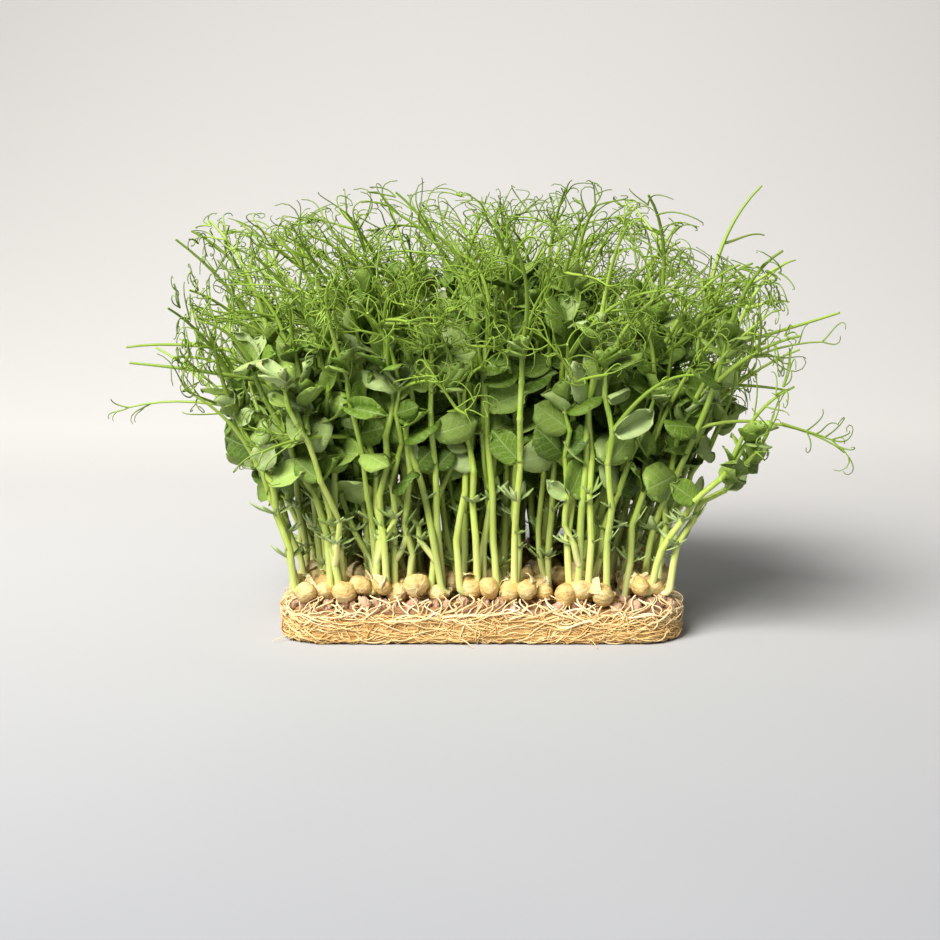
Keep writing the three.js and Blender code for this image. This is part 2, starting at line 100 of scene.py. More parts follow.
# Each use of random draws has its own run of seeds.
seeds = {"foot": 100, "mainStem": 1000, "sideStem": 2000, "outward": 3000, "blade": 10000, "tendril": 20000,
         "stray": 30000, "plant": 40000, "stem": 41000, "tip": 42000, "bracts": 43000, "partner": 44000,
         "knees": 45000, "tuft": 46000, "branchTuft": 47000, "fillFoot": 5000, "outerFoot": 5600,
         "fill": 50000, "fillStem": 51000, "fillTip": 52000, "fillBracts": 53000, "fillKnees": 54000,
         "fillTuft": 60000, "pea": 70000, "loosePea": 71000, "peaTurn": 72000, "sideStrand": 80000,
         "topStrand": 83000, "underStrand": 84000, "runner": 85000, "drop": 87000, "strayRoot": 89000,
         "edgeCrown": 90000, "footCrown": 91000}


# Repeatable random numbers: the same use and number always give the same draws.
def drawer(use, number):
    seed = seeds[use] + number
    state = {"count": 0}

    def draw(low=0.0, high=1.0):
        state["count"] += 1
        h = (seed * 0x9E3779B1 + state["count"] * 0x85EBCA6B) & 0xFFFFFFFF
        h = ((h ^ (h >> 16)) * 0x7FEB352D) & 0xFFFFFFFF
        h = ((h ^ (h >> 15)) * 0x846CA68B) & 0xFFFFFFFF
        h ^= h >> 16
        return low + (high - low) * h / 4294967296
    return draw


def spread(draw, reach):
    return draw(-reach, reach)


def unit(v):
    return v / math.sqrt(float(v @ v))


def turned(v, axis, angle):
    c, s = math.cos(angle), math.sin(angle)
    return v * c + np.cross(axis, v) * s + axis * float(axis @ v) * (1 - c)


def direction(azimuth, elevation):
    flat = math.cos(elevation)
    return np.array([math.cos(azimuth) * flat, math.sin(azimuth) * flat, math.sin(elevation)])


def bezierPoint(curve, t):
    a, b, c, d = curve
    s = 1 - t
    return s * s * s * a + 3 * s * s * t * b + 3 * s * t * t * c + t * t * t * d


def bezierTangent(curve, t):
    return unit(bezierPoint(curve, min(t + 1e-4, 1)) - bezierPoint(curve, max(t - 1e-4, 0)))


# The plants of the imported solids, grown again by the same rule.

occupied = {"centres": np.zeros((40000, 3)), "radii": np.zeros(40000), "count": 0}


def isClear(balls, ignored=None):
    count = occupied["count"]
    centres, radii = occupied["centres"][:count], occupied["radii"][:count]
    if ignored is not None:
        keep = np.ones(count, bool)
        keep[ignored[0]:ignored[1]] = False
        centres, radii = centres[keep], radii[keep]
    points, own = balls
    if len(radii) == 0:
        return True
    gaps = np.sqrt(((points[:, None, :] - centres[None, :, :]) ** 2).sum(2))
    return bool((gaps > own[:, None] + radii[None, :] + clearance["gap"]).all())


def occupy(balls):
    start = occupied["count"]
    end = start + len(balls[1])
    occupied["centres"][start:end] = balls[0]
    occupied["radii"][start:end] = balls[1]
    occupied["count"] = end
    return start, end


def curveBalls(curve, radius, leftBy=0.0):
    steps = np.arange(clearance["samples"] + 1)
    t = (leftBy + (1 - leftBy) * steps / clearance["samples"])[:, None]
    radii = np.minimum(radius, 0.4 + 0.25 * steps) if leftBy > 0 else np.full(len(steps), radius)
    return bezierPoint(curve, t), radii


def peaCentres(row):
    middle = (peaSize["perRow"] - 1) / 2
    z = matSize["thickness"] + peaSize["restGap"] + peaSize["radius"] * peaSize["flatness"]
    return [np.array([(i - middle) * peaSize["pitch"],
                      peaSize["rowCentres"][row] + peaSize["sway"] * math.sin(i * 0.32 + row * 1.9), z])
            for i in range(peaSize["perRow"])]


def footOf(lane, place):
    draw = drawer("foot", lane * 20 + place)
    side = 1 if (lane + place) % 2 == 0 else -1
    x = (place - (lanes["perLane"] - 1) / 2) * lanes["pitch"] + spread(draw, lanes["jitterX"])
    y = lanes["centres"][lane] + side * lanes["zigzag"] + spread(draw, lanes["jitterY"])
    return np.array([x, y, stemSize["footZ"]])


# Which way a plant looks: out of the block, with some play.
def outwardOf(foot, draw):
    play = 0.3
    y = foot[1] / (matSize["depth"] / 2) + spread(draw, play)
    x = foot[0] / (matSize["length"] / 2) + spread(draw, play)
    return math.atan2(y, x)


def mainStem(number, foot, checked=True):
    draw = drawer("mainStem", number)
    outX = foot[0] / (matSize["length"] / 2)
    outY = foot[1] / (matSize["depth"] / 2)
    fall = stemSize["fallX"] * outX * outX + stemSize["fallY"] * outY * outY
    for _ in range(clearance["tries"]):
        tip = np.array([foot[0] * stemSize["spreadX"] + spread(draw, stemSize["tipSway"]),
                        foot[1] * stemSize["spreadY"] + spread(draw, stemSize["tipSway"]),
                        stemSize["height"] - fall + draw(*stemSize["heightSway"])])
        lower = foot + [0, 0, stemSize["rise"] * tip[2]]
        sway = stemSize["upperSway"]
        upper = foot + (tip - foot) * stemSize["upperAt"] + [spread(draw, sway), spread(draw, sway), 0]
        curve = [foot, lower, upper, tip]
        if not checked or isClear(curveBalls(curve, clearance["stem"])):
            return curve
    return curve


# The side shoot leaves the main stem low down, to the left or right of the way the plant looks.
def sideStem(number, main, mainBalls, outward, checked=True):
    draw = drawer("sideStem", number)
    start = bezierPoint(main, sideSize["sproutAt"])
    for _ in range(clearance["tries"]):
        turn = 1 if draw() < 0.5 else -1
        away = direction(outward + turn * math.pi / 2, 0)
        tip = main[3] + away * draw(*sideSize["apart"])
        sway = sideSize["tipSway"]
        tip = tip + [spread(draw, sway), spread(draw, sway), -draw(*sideSize["fall"])]
        lower = start + away * sideSize["bowOut"] + [0, 0, sideSize["bowUp"]]
        sway = sideSize["upperSway"]
        upper = start + (tip - start) * sideSize["upperAt"] + [spread(draw, sway), spread(draw, sway), 0]
        curve = [start, lower, upper, tip]
        if not checked:
            return curve
        whole = curveBalls(curve, clearance["stem"])
        parted = curveBalls(curve, clearance["stem"], sideSize["parted"])
        if isClear(whole, mainBalls) and isClear(parted):
            return curve
    return None


def bladePoint(blade, along, across):
    form = bladeForms[blade["form"]]
    return (blade["foot"] + blade["axis"] * (along * blade["length"])
            + blade["side"] * (across * form["width"] * blade["length"] / 2)
            - blade["normal"] * (form["droop"] * along * along * blade["length"]))


def bladeBalls(blade):
    points, radii = [], []
    for along, reach, radius in clearance["bladeRows"]:
        for across in (-1, -0.5, 0, 0.5, 1):
            points.append(bladePoint(blade, along, across * reach))
            radii.append(radius)
    return np.array(points), np.array(radii)


def growBlade(stem, t, turn, outward, draw, checked=True):
    for attempt in range(clearance["tries"]):
        azimuth = outward + turn * math.pi / 2 + spread(draw, bladeSize["sway"])
        axis = direction(azimuth, draw(*bladeSize["rise"]))
        face = direction(outward, draw(*bladeSize["faceRise"]))
        side = turned(unit(np.cross(face, axis)), axis, spread(draw, bladeSize["roll"]))
        length = draw(*bladeSize["length"]) * (1 - bladeSize["shrink"] * attempt)
        form = math.floor(draw(0, len(bladeForms)))
        blade = {"foot": bezierPoint(stem, t), "axis": axis, "side": side, "normal": np.cross(axis, side),
                 "length": length, "form": form}
        if not checked or isClear(bladeBalls(blade)):
            return blade
    return None


def growTendril(stem, t, outward, draw, checked=True):
    start = bezierPoint(stem, t)
    if t < 1:
        start = start + direction(outward, 0) * stemSize["tipRadius"]
    for attempt in range(clearance["tries"]):
        azimuth = outward + spread(draw, tendrilSize["sway"])
        ahead = direction(azimuth, draw(*tendrilSize["topRise" if t == 1 else "sideRise"]))
        length = draw(*tendrilSize["length"]) * (1 - tendrilSize["shrink"] * attempt)
        bend = direction(azimuth + spread(draw, tendrilSize["bendTurn"]), draw(*tendrilSize["bendRise"]))
        curve = [start, start + ahead * (0.36 * length),
                 start + ahead * (0.72 * length) + bend * (0.06 * length),
                 start + ahead * (0.93 * length) + bend * (0.36 * length)]
        if not checked or isClear(curveBalls(curve, clearance["tendril"], tendrilSize["leftBy"])):
            return curve
    return None


def strayTendril(stem, t, tip):
    start = bezierPoint(stem, t)
    end = np.array(tip, float)
    lift = [0, 0, tendrilSize["strayLift"]]
    return [start, start + (end - start) * 0.3 + lift, start + (end - start) * 0.7 + lift, end]


def growBranch(parent, draw):
    fork = draw(*branchSize["forkAt"])
    start = bezierPoint(parent, fork)
    along = bezierTangent(parent, fork)
    for _ in range(clearance["tries"]):
        aside = direction(draw(0, 2 * math.pi), draw(*branchSize["rise"]))
        aside = unit(aside - along * float(aside @ along))
        length = draw(*branchSize["length"])
        curve = [start, start + along * (0.15 * length) + aside * (0.3 * length),
                 start + along * (0.45 * length) + aside * (0.55 * length),
                 start + along * (0.5 * length) + aside * (0.95 * length)]
        if isClear(curveBalls(curve, clearance["tendril"], branchSize["leftBy"])):
            return curve
    return None


# For the main stem and the side shoot: the joint and side of each leaf, and where the tendrils grow.
bladePlaces = [[[0, 1], [1, 1], [1, -1], [2, -1]], [[1, 1], [2, -1]]]
tendrilPlaces = [[1, joints[2], joints[1]], [1]]


def addTendril(plant, curve, shoot, t, draw, stray=False):
    occupy(curveBalls(curve, clearance["tendril"], tendrilSize["leftBy"]))
    branch = growBranch(curve, draw)
    if branch is not None:
        occupy(curveBalls(branch, clearance["tendril"], branchSize["leftBy"]))
    plant["tendrils"].append({"curve": curve, "branch": branch, "shoot": shoot, "t": t, "stray": stray})


def growPlants():
    for row in range(len(peaSize["rowCentres"])):
        centres = peaCentres(row)
        occupy((np.array(centres), np.full(len(centres), float(peaSize["radius"]))))
    plants = []
    for lane in range(len(lanes["centres"])):
        for place in range(lanes["perLane"]):
            number = len(plants)
            foot = footOf(lane, place)
            plants.append({"number": number, "lane": lane, "place": place, "foot": foot,
                           "outward": outwardOf(foot, drawer("outward", number)),
                           "shoots": [], "blades": [], "tendrils": []})
    for plant in plants:
        main = mainStem(plant["number"], plant["foot"])
        plant["mainBalls"] = occupy(curveBalls(main, clearance["stem"]))
        plant["shoots"].append(main)
    for plant in plants:
        side = sideStem(plant["number"], plant["shoots"][0], plant["mainBalls"], plant["outward"])
        if side is not None:
            occupy(curveBalls(side, clearance["stem"], sideSize["ownFrom"]))
            plant["shoots"].append(side)
    for plant in plants:
        for stray in strays:
            if stray["lane"] == plant["lane"] and stray["place"] == plant["place"]:
                t = joints[stray["joint"]]
                curve = strayTendril(plant["shoots"][0], t, stray["tip"])
                addTendril(plant, curve, 0, t, drawer("stray", plant["number"]), True)
    for plant in plants:
        for shoot, stem in enumerate(plant["shoots"]):
            for order, (joint, turn) in enumerate(bladePlaces[shoot]):
                draw = drawer("blade", plant["number"] * 40 + shoot * 20 + order)
                blade = growBlade(stem, joints[joint], turn, plant["outward"], draw)
                if blade is not None:
                    occupy(bladeBalls(blade))
                    plant["blades"].append(blade)
    for plant in plants:
        for shoot, stem in enumerate(plant["shoots"]):
            for order, t in enumerate(tendrilPlaces[shoot]):
                if any(one["shoot"] == shoot and one["t"] == t for one in plant["tendrils"]):
                    continue
                own = plant["number"] * 40 + shoot * 20 + order
                curve = growTendril(stem, t, plant["outward"], drawer("tendril", own))
                if curve is not None:
                    addTendril(plant, curve, shoot, t, drawer("tendril", own + 10))
    return plants


plants = growPlants()
print("pea shoots: rooted plants grown,", len(plants))

# What is drawn round the plants is kept inside the solids' own box and a little more, by a soft squeeze.
reachLook = {"proud": 8, "softness": 14, "crown": [123, 99, 200], "fallLeft": 22, "fallRight": 48}
lowest = [cadBox[0][i] / mm - reachLook["proud"] for i in range(2)]
highest = [cadBox[1][i] / mm + reachLook["proud"] for i in range(3)]


def softly(value, limit, soft):
    over = value - (limit - soft)
    return limit - soft * math.exp(-over / soft) if over > 0 else value


def kept(point, crown=False):
    soft = reachLook["softness"]
    held = []
    fall = reachLook["fallRight" if point[0] > 0 else "fallLeft"] * (point[0] / reachLook["crown"][0]) ** 2
    for i in range(3):
        high = reachLook["crown"][i] - (fall if i == 2 else 0) if crown else highest[i]
        value = softly(point[i], high, soft)
        if i < 2:
            value = -softly(-value, high if crown else -lowest[i], soft)
        held.append(value)
    return held


def vectorOf(point):
    return Vector((float(point[0]), float(point[1]), float(point[2])))


def sampled(curve, steps):
    return [vectorOf(bezierPoint(curve, i / steps)) for i in range(steps + 1)]


def mixed(a, b, share):
    return a + (b - a) * share


# Paths are rows of points with a radius each. The tube tree makes them round.

def newPaths():
    return {"co": [], "edges": [], "thick": [], "along": [], "tint": []}


def addPath(paths, points, radii, tint, crown=False):
    first = len(paths["co"])
    for i, point in enumerate(points):
        paths["co"].append(kept(point, crown))
        paths["thick"].append(radii[i] * mm)
        paths["along"].append(i / (len(points) - 1))
        paths["tint"].append(tint)
        if i:
            paths["edges"].append((first + i - 1, first + i))


# Forms are points that a prototype of a collection is put on.

def newForms():
    return {"co": [], "turn": [], "size": [], "form": [], "tint": []}


def addForm(forms, place, axis, side, normal, size, form, tint):
    turn = Matrix((axis, side, normal)).transposed().to_euler()
    forms["co"].append(kept(place))
    forms["turn"].append(tuple(turn))
    forms["size"].append(size * mm)
    forms["form"].append(form)
    forms["tint"].append(tint)


def addNode(tree, kind, inputs=None, **settings):
    node = tree.nodes.new(kind)
    for name, value in settings.items():
        setattr(node, name, value)
    for name, value in (inputs or {}).items():
        if isinstance(value, bpy.types.NodeSocket):
            tree.links.new(value, node.inputs[name])
        else:
            node.inputs[name].default_value = value
    return node


def newTree(name, kind, inputs, outputs):
    tree = bpy.data.node_groups.new(name, kind)
    for label, socket, value in inputs:
        made = tree.interface.new_socket(name=label, in_out="INPUT", socket_type=socket)
        if value is not None:
            made.default_value = value
    for label, socket in outputs:
        tree.interface.new_socket(name=label, in_out="OUTPUT", socket_type=socket)
    return tree, tree.nodes.new("NodeGroupInput").outputs, tree.nodes.new("NodeGroupOutput").inputs


def named(tree, name, kind):
    node = addNode(tree, "GeometryNodeInputNamedAttribute", {"Name": name}, data_type=kind)
    return node.outputs["Attribute"]


def makeTubeTree():
    tree, given, out = newTree("tubesAlongPaths", "GeometryNodeTree", (
        ("Geometry", "NodeSocketGeometry", None),
        ("Sides", "NodeSocketInt", 6),
        ("Thickness", "NodeSocketFloat", 1.0),
        ("Skin", "NodeSocketMaterial", None)), (("Geometry", "NodeSocketGeometry"),))
    curve = addNode(tree, "GeometryNodeMeshToCurve", {"Mesh": given["Geometry"]})
    ring = addNode(tree, "GeometryNodeCurvePrimitiveCircle", {"Resolution": given["Sides"], "Radius": 1.0})
    scale = addNode(tree, "ShaderNodeMath", {0: named(tree, "thick", "FLOAT"), 1: given["Thickness"]},
                    operation="MULTIPLY")
    tube = addNode(tree, "GeometryNodeCurveToMesh", {
        "Curve": curve.outputs["Curve"], "Profile Curve": ring.outputs["Curve"],
        "Scale": scale.outputs[0], "Fill Caps": True})
    smooth = addNode(tree, "GeometryNodeSetShadeSmooth", {"Geometry": tube.outputs["Mesh"]})
    real = addNode(tree, "GeometryNodeRealizeInstances", {"Geometry": smooth.outputs["Geometry"]})
    skin = addNode(tree, "GeometryNodeSetMaterial", {
        "Geometry": real.outputs["Geometry"], "Material": given["Skin"]})
    tree.links.new(skin.outputs["Geometry"], out["Geometry"])
    return tree


def makeFormTree():
    tree, given, out = newTree("formsOnPoints", "GeometryNodeTree", (
        ("Geometry", "NodeSocketGeometry", None),
        ("Forms", "NodeSocketCollection", None),
        ("Scale", "NodeSocketFloat", 1.0),
        ("Skin", "NodeSocketMaterial", None)), (("Geometry", "NodeSocketGeometry"),))
    forms = addNode(tree, "GeometryNodeCollectionInfo", {
        "Collection": given["Forms"], "Separate Children": True, "Reset Children": True})
    scale = addNode(tree, "ShaderNodeMath", {0: named(tree, "size", "FLOAT"), 1: given["Scale"]},
                    operation="MULTIPLY")
    placed = addNode(tree, "GeometryNodeInstanceOnPoints", {
        "Points": given["Geometry"], "Instance": forms.outputs["Instances"], "Pick Instance": True,
        "Instance Index": named(tree, "form", "INT"), "Rotation": named(tree, "turn", "FLOAT_VECTOR"),
        "Scale": scale.outputs[0]})
    real = addNode(tree, "GeometryNodeRealizeInstances", {"Geometry": placed.outputs["Instances"]})
    skin = addNode(tree, "GeometryNodeSetMaterial", {
        "Geometry": real.outputs["Geometry"], "Material": given["Skin"]})
    tree.links.new(skin.outputs["Geometry"], out["Geometry"])
    return tree


tubeTree = makeTubeTree()
formTree = makeFormTree()


def runTree(name, mesh, tree, values):
    piece = bpy.data.objects.new(name, mesh)
    bpy.context.scene.collection.objects.link(piece)
    modifier = piece.modifiers.new(tree.name, "NODES")
    modifier.node_group = tree
    for item in tree.interface.items_tree:
        if item.in_out == "INPUT" and item.name in values:
            modifier[item.identifier] = values[item.name]
    depsgraph = bpy.context.evaluated_depsgraph_get()
    made = bpy.data.meshes.new_from_object(piece.evaluated_get(depsgraph), preserve_all_data_layers=True,
                                           depsgraph=depsgraph)
    piece.modifiers.clear()
    piece.data = made
    bpy.data.meshes.remove(mesh)
    made.name = name
    for spare in ("thick", "turn", "size", "form"):
        if spare in made.attributes:
            made.attributes.remove(made.attributes[spare])
    return piece


def pointMesh(name, store, kinds):
    mesh = bpy.data.meshes.new(name)
    mesh.from_pydata([], [], [])
    mesh.vertices.add(len(store["co"]))
    mesh.vertices.foreach_set("co", (np.array(store["co"], float) * mm).ravel())
    if "edges" in store:
        mesh.edges.add(len(store["edges"]))
        mesh.edges.foreach_set("vertices", np.array(store["edges"], int).ravel())
    for label, (kind, field) in kinds.items():
        attribute = mesh.attributes.new(label, kind, "POINT")
        attribute.data.foreach_set(field, np.array(store[label]).ravel())
    mesh.update()
    return mesh


def tubes(name, paths, sides, skin):
    mesh = pointMesh(name, paths, {"thick": ("FLOAT", "value"), "along": ("FLOAT", "value"),
                                   "tint": ("FLOAT", "value")})
    return runTree(name, mesh, tubeTree, {"Sides": sides, "Thickness": 1.0, "Skin": skin})


def formCopies(name, forms, collection, skin):
    mesh = pointMesh(name, forms, {"turn": ("FLOAT_VECTOR", "vector"), "size": ("FLOAT", "value"),
                                   "form": ("INT", "value"), "tint": ("FLOAT", "value")})
    return runTree(name, mesh, formTree, {"Forms": collection, "Scale": 1.0, "Skin": skin})


# Prototypes are made at unit size, and the form tree scales them.

def storeForm(name, collection, mesh):
    for polygon in mesh.polygons:
        polygon.use_smooth = True
    mesh.update()
    collection.objects.link(bpy.data.objects.new(name, mesh))


def gridForm(name, collection, rows, columns, pointAt, thickness):
    stations = [(1 - math.cos(math.pi * i / rows)) / 2 for i in range(rows + 1)]
    top = [pointAt(station, j / columns * 2 - 1) for station in stations for j in range(columns + 1)]
    wide = columns + 1
    normals = []
    for i in range(rows + 1):
        for j in range(wide):
            along = top[min(i + 1, rows) * wide + j] - top[max(i - 1, 0) * wide + j]
            across = top[i * wide + min(j + 1, columns)] - top[i * wide + max(j - 1, 0)]
            normals.append(along.cross(across).normalized())
    low = [p - n * thickness for p, n in zip(top, normals)]
    count = len(top)
    faces = []
    for i in range(rows):
        for j in range(columns):
            a, b, c, d = i * wide + j, (i + 1) * wide + j, (i + 1) * wide + j + 1, i * wide + j + 1
            faces.append((a, b, c, d))
            faces.append((count + d, count + c, count + b, count + a))
    rim = [i * wide for i in range(rows + 1)] + [rows * wide + j for j in range(1, wide)]
    rim += [i * wide + columns for i in range(rows - 1, -1, -1)] + [j for j in range(columns - 1, 0, -1)]
    for k, a in enumerate(rim):
        b = rim[(k + 1) % len(rim)]
        faces.append((b, a, count + a, count + b))
    mesh = bpy.data.meshes.new(name)
    mesh.from_pydata(top + low, [], faces)
    shares = [(station, j / columns) for station in stations for j in range(wide)]
    layer = mesh.uv_layers.new(name="UVMap")
    for loop in mesh.loops:
        along, across = shares[loop.vertex_index % count]
        layer.data[loop.index].uv = (across, along)
    storeForm(name, collection, mesh)


def ballForm(name, collection, around, levels, radiusAt):
    points = [Vector((0, 0, -1)) * radiusAt(Vector((0, 0, -1)))]
    for i in range(1, levels):
        height = -math.cos(math.pi * i / levels)
        for j in range(around):
            turn = 2 * math.pi * (j + 0.5 * (i % 2)) / around
            flat = math.sqrt(1 - height * height)
            facing = Vector((flat * math.cos(turn), flat * math.sin(turn), height))
            points.append(facing * radiusAt(facing))
    points.append(Vector((0, 0, 1)) * radiusAt(Vector((0, 0, 1))))
    faces = []
    for j in range(around):
        k = (j + 1) % around
        faces.append((0, 1 + k, 1 + j))
        for i in range(levels - 2):
            low, high = 1 + i * around, 1 + (i + 1) * around
            faces.append((low + j, low + k, high + k, high + j))
        high = 1 + (levels - 2) * around
        faces.append((len(points) - 1, high + j, high + k))
    mesh = bpy.data.meshes.new(name)
    mesh.from_pydata(points, [], faces)
    storeForm(name, collection, mesh)


# The leaves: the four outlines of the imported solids, each flat and each waved, then folded ones and bracts.

# An outline gives how far along each step is, and its width as a share of the widest.
leafLook = {"rows": 6, "columns": 4, "thickness": 0.018, "cup": 0.15, "wave": 0.05, "clasp": 0.05,
            "outline": [[0.0, 0.3], [0.07, 0.6], [0.2, 0.8], [0.36, 0.93], [0.52, 1.0], [0.68, 1.0],
                        [0.82, 0.9], [0.93, 0.68], [0.98, 0.42], [1.0, 0.24]],
            "open": [{"wave": 0.3, "cup": 1, "point": 0.03}, {"wave": 1.0, "cup": -0.7, "point": 0.05}],
            "folded": [{"width": 0.62, "cup": 0.42}, {"width": 0.5, "cup": 0.62}],
            "foldedDroop": 0.12, "foldedWave": 0.4, "foldedPoint": 0.1}
lobeLook = {"rows": 4, "columns": 1, "thickness": 0.05,
            "forms": [{"width": 0.4, "lean": 0, "droop": 0.15}, {"width": 0.3, "lean": 0.7, "droop": 0.2},
                      {"width": 0.3, "lean": -0.7, "droop": 0.2}]}


def outlineWidth(outline, along):
    for low, high in zip(outline, outline[1:]):
        if along <= high[0]:
            return mixed(low[1], high[1], (along - low[0]) / (high[0] - low[0]))
    return outline[-1][1]


# A leaf's surface: its foot clasps the stem, its sides are cupped and its margin is waved.
def leafSurface(width, droop, cup, wave, phase, point):
    def pointAt(along, across):
        half = outlineWidth(leafLook["outline"], along) * width / 2
        bulge = 1 - 0.12 * along * across * across
        x = leafLook["clasp"] + (1 - leafLook["clasp"]) * along * bulge
        x += point * max(0, along - 0.9) * (1 - abs(across)) * 4
        z = -droop * along * along + cup * width * across * across
        z += wave * math.sin(7.5 * along + 2.2 * across + phase) * abs(across)
        return Vector((x, across * half, z))
    return pointAt


def lobeSurface(width, lean, droop):
    def pointAt(along, across):
        half = width / 2 * math.sin(math.pi * min(0.98, 0.12 + 0.86 * along))
        return Vector((along * (1 - 0.3 * abs(lean)), lean * along + across * half, droop * along * along))
    return pointAt


def makeLeafForms():
    collection = bpy.data.collections.new("leafForms")
    surfaces = []
    for kind in leafLook["open"]:
        for form in bladeForms:
            surfaces.append(leafSurface(form["width"], form["droop"], leafLook["cup"] * kind["cup"],
                                        leafLook["wave"] * kind["wave"], len(surfaces) * 1.7, kind["point"]))
    for kind in leafLook["folded"]:
        surfaces.append(leafSurface(kind["width"], leafLook["foldedDroop"], kind["cup"],
                                    leafLook["wave"] * leafLook["foldedWave"], len(surfaces),
                                    leafLook["foldedPoint"]))
    for number, surface in enumerate(surfaces):
        gridForm(f"leaf_{number:02d}", collection, leafLook["rows"], leafLook["columns"], surface,
                 leafLook["thickness"])
    for number, kind in enumerate(lobeLook["forms"], len(surfaces)):
        gridForm(f"leaf_{number:02d}", collection, lobeLook["rows"], lobeLook["columns"],
                 lobeSurface(kind["width"], kind["lean"], kind["droop"]), lobeLook["thickness"])
    return collection


# The numbers of these forms, by kind.
leafForms = {"open": 0, "waved": 4, "folded": [8, 9], "lobes": [10, 11, 12]}


# Stalks and threads: what the growth rule's curves look like up close.

stemLook = {"steps": 14, "sides": 7, "swell": 0.2, "swellReach": 0.012, "sway": 0.4, "swayTurns": 11,
            "foot": 1.6, "tip": 1.1, "lead": [0.75, 1, 1.08], "end": 0.6,
            "lowJoints": [0.15, 0.3], "jointPlay": 0.03, "knee": 0.5, "fillKnee": 1.9}
stalkLook = {"steps": 10, "sides": 5, "root": 1.2, "end": 0.5, "pairs": [0.5, 0.68, 0.84], "pairPlay": 0.03,
             "pairTurn": 0.5, "missing": 0.32, "spread": [0.4, 1.1], "length": [15, 38],
             "last": 0.98, "lastMissing": 0.5, "lastSpread": [0.25, 0.6], "lastLongest": 34.2}
threadLook = {"sides": 3, "root": 0.42, "end": 0.2, "curls": 0.42, "coils": 0.08, "coilLength": 1.25,
              "fork": 0.26, "secondFork": 0.05, "lift": 0.02, "early": [-0.9, 0.3],
              "forkAt": [0.22, 0.5], "forkSpread": [0.45, 0.95], "forkShare": [0.35, 0.7], "forkCurls": 0.3}

# How a thread bends: the whole turn, how late it comes, and how far it twists out of its plane.
threadStyles = {"coil": {"steps": 16, "turn": [8, 12], "late": [0.3, 0.8], "twist": [2, 4]},
                "curl": {"steps": 12, "turn": [3.6, 6.4], "late": [0.9, 2.2], "twist": [-1.2, 1.2]},
                "hook": {"steps": 8, "turn": [1.0, 3.4], "late": [1.0, 2.8], "twist": [-0.8, 0.8]}}


# A stem changes its way a little at each joint.
def kneesOf(nodes, draw, reach):
    way = direction(draw(0, 2 * math.pi), 0)
    low = [place + spread(draw, stemLook["jointPlay"]) for place in stemLook["lowJoints"]]
    places = [(0.0, 0.0)]
    for i, t in enumerate(sorted(low + list(nodes))):
        places.append((t, (1 if i % 2 else -1) * reach * draw(0.4, 1.0)))
    return {"way": way, "places": places + [(1.0, 0.0)], "low": low}


def kneeAt(knees, t):
    for low, high in zip(knees["places"], knees["places"][1:]):
        if t <= high[0]:
            return knees["way"] * mixed(low[1], high[1], (t - low[0]) / (high[0] - low[0]))
    return knees["way"] * 0


def addStem(bunch, curve, nodes, knees, draw, lead=(), thin=1.0):
    steps = stemLook["steps"]
    reach = stemLook["swellReach"]
    places = {i / steps for i in range(steps + 1)} | set(knees["low"])
    places |= {node + side for node in nodes for side in (-reach, 0, reach) if 0 < node + side < 1}
    phase = draw(0, 2 * math.pi)
    points = list(lead)
    radii = [stemLook["foot"] * thin * share for share in stemLook["lead"][:len(points)]]
    for t in sorted(places):
        bend = stemLook["sway"] * math.sin(stemLook["swayTurns"] * t + phase) * min(1, 8 * t, 8 * (1 - t))
        points.append(vectorOf(bezierPoint(curve, t) + kneeAt(knees, t)) + Vector((bend, 0.7 * bend, 0)))
        radius = mixed(stemLook["foot"], stemLook["tip"], t) * thin
        if any(abs(t - node) < 1e-9 for node in nodes):
            radius *= 1 + stemLook["swell"]
        radii.append(radius if t < 1 else radius * stemLook["end"])
    # The tint: a darker tone at random, raised by painted shade the deeper the plant stands in the block.
    addPath(bunch["stems"], points, radii, mixed(draw(0, 0.6), 1, bunch["depth"]))


def sideways(heading, draw):
    loose = Vector((draw(-1, 1), draw(-1, 1), draw(-1, 1)))
    across = heading.cross(loose)
    return across.normalized() if across.length > 1e-3 else heading.orthogonal().normalized()


def tapered(points, root, end):
    last = len(points) - 1
    return [mixed(root, end, i / last) for i in range(last + 1)]


# A thread keeps turning, more and more towards its end, after a slight bend the other way.
def growThread(start, heading, length, style, draw):
    style = threadStyles[style]
    steps = style["steps"]
    total, power, twist = draw(*style["turn"]), draw(*style["late"]), draw(*style["twist"])
    early = draw(*threadLook["early"])
    heading = heading.normalized()
    axis = sideways(heading, draw)
    point = start.copy()
    points = [point.copy()]
    headings = [heading.copy()]
    for i in range(steps):
        share = (i + 0.5) / steps
        turn = (total * (power + 1) * share ** power + 2 * early * (1 - share)) / steps
        heading.rotate(Quaternion(axis, turn))
        axis.rotate(Quaternion(heading, twist / steps))
        heading.z += threadLook["lift"]
        heading.normalize()
        axis = (axis - heading * axis.dot(heading)).normalized()
        point = point + heading * (length / steps)
        points.append(point.copy())
        headings.append(heading.copy())
    return points, headings


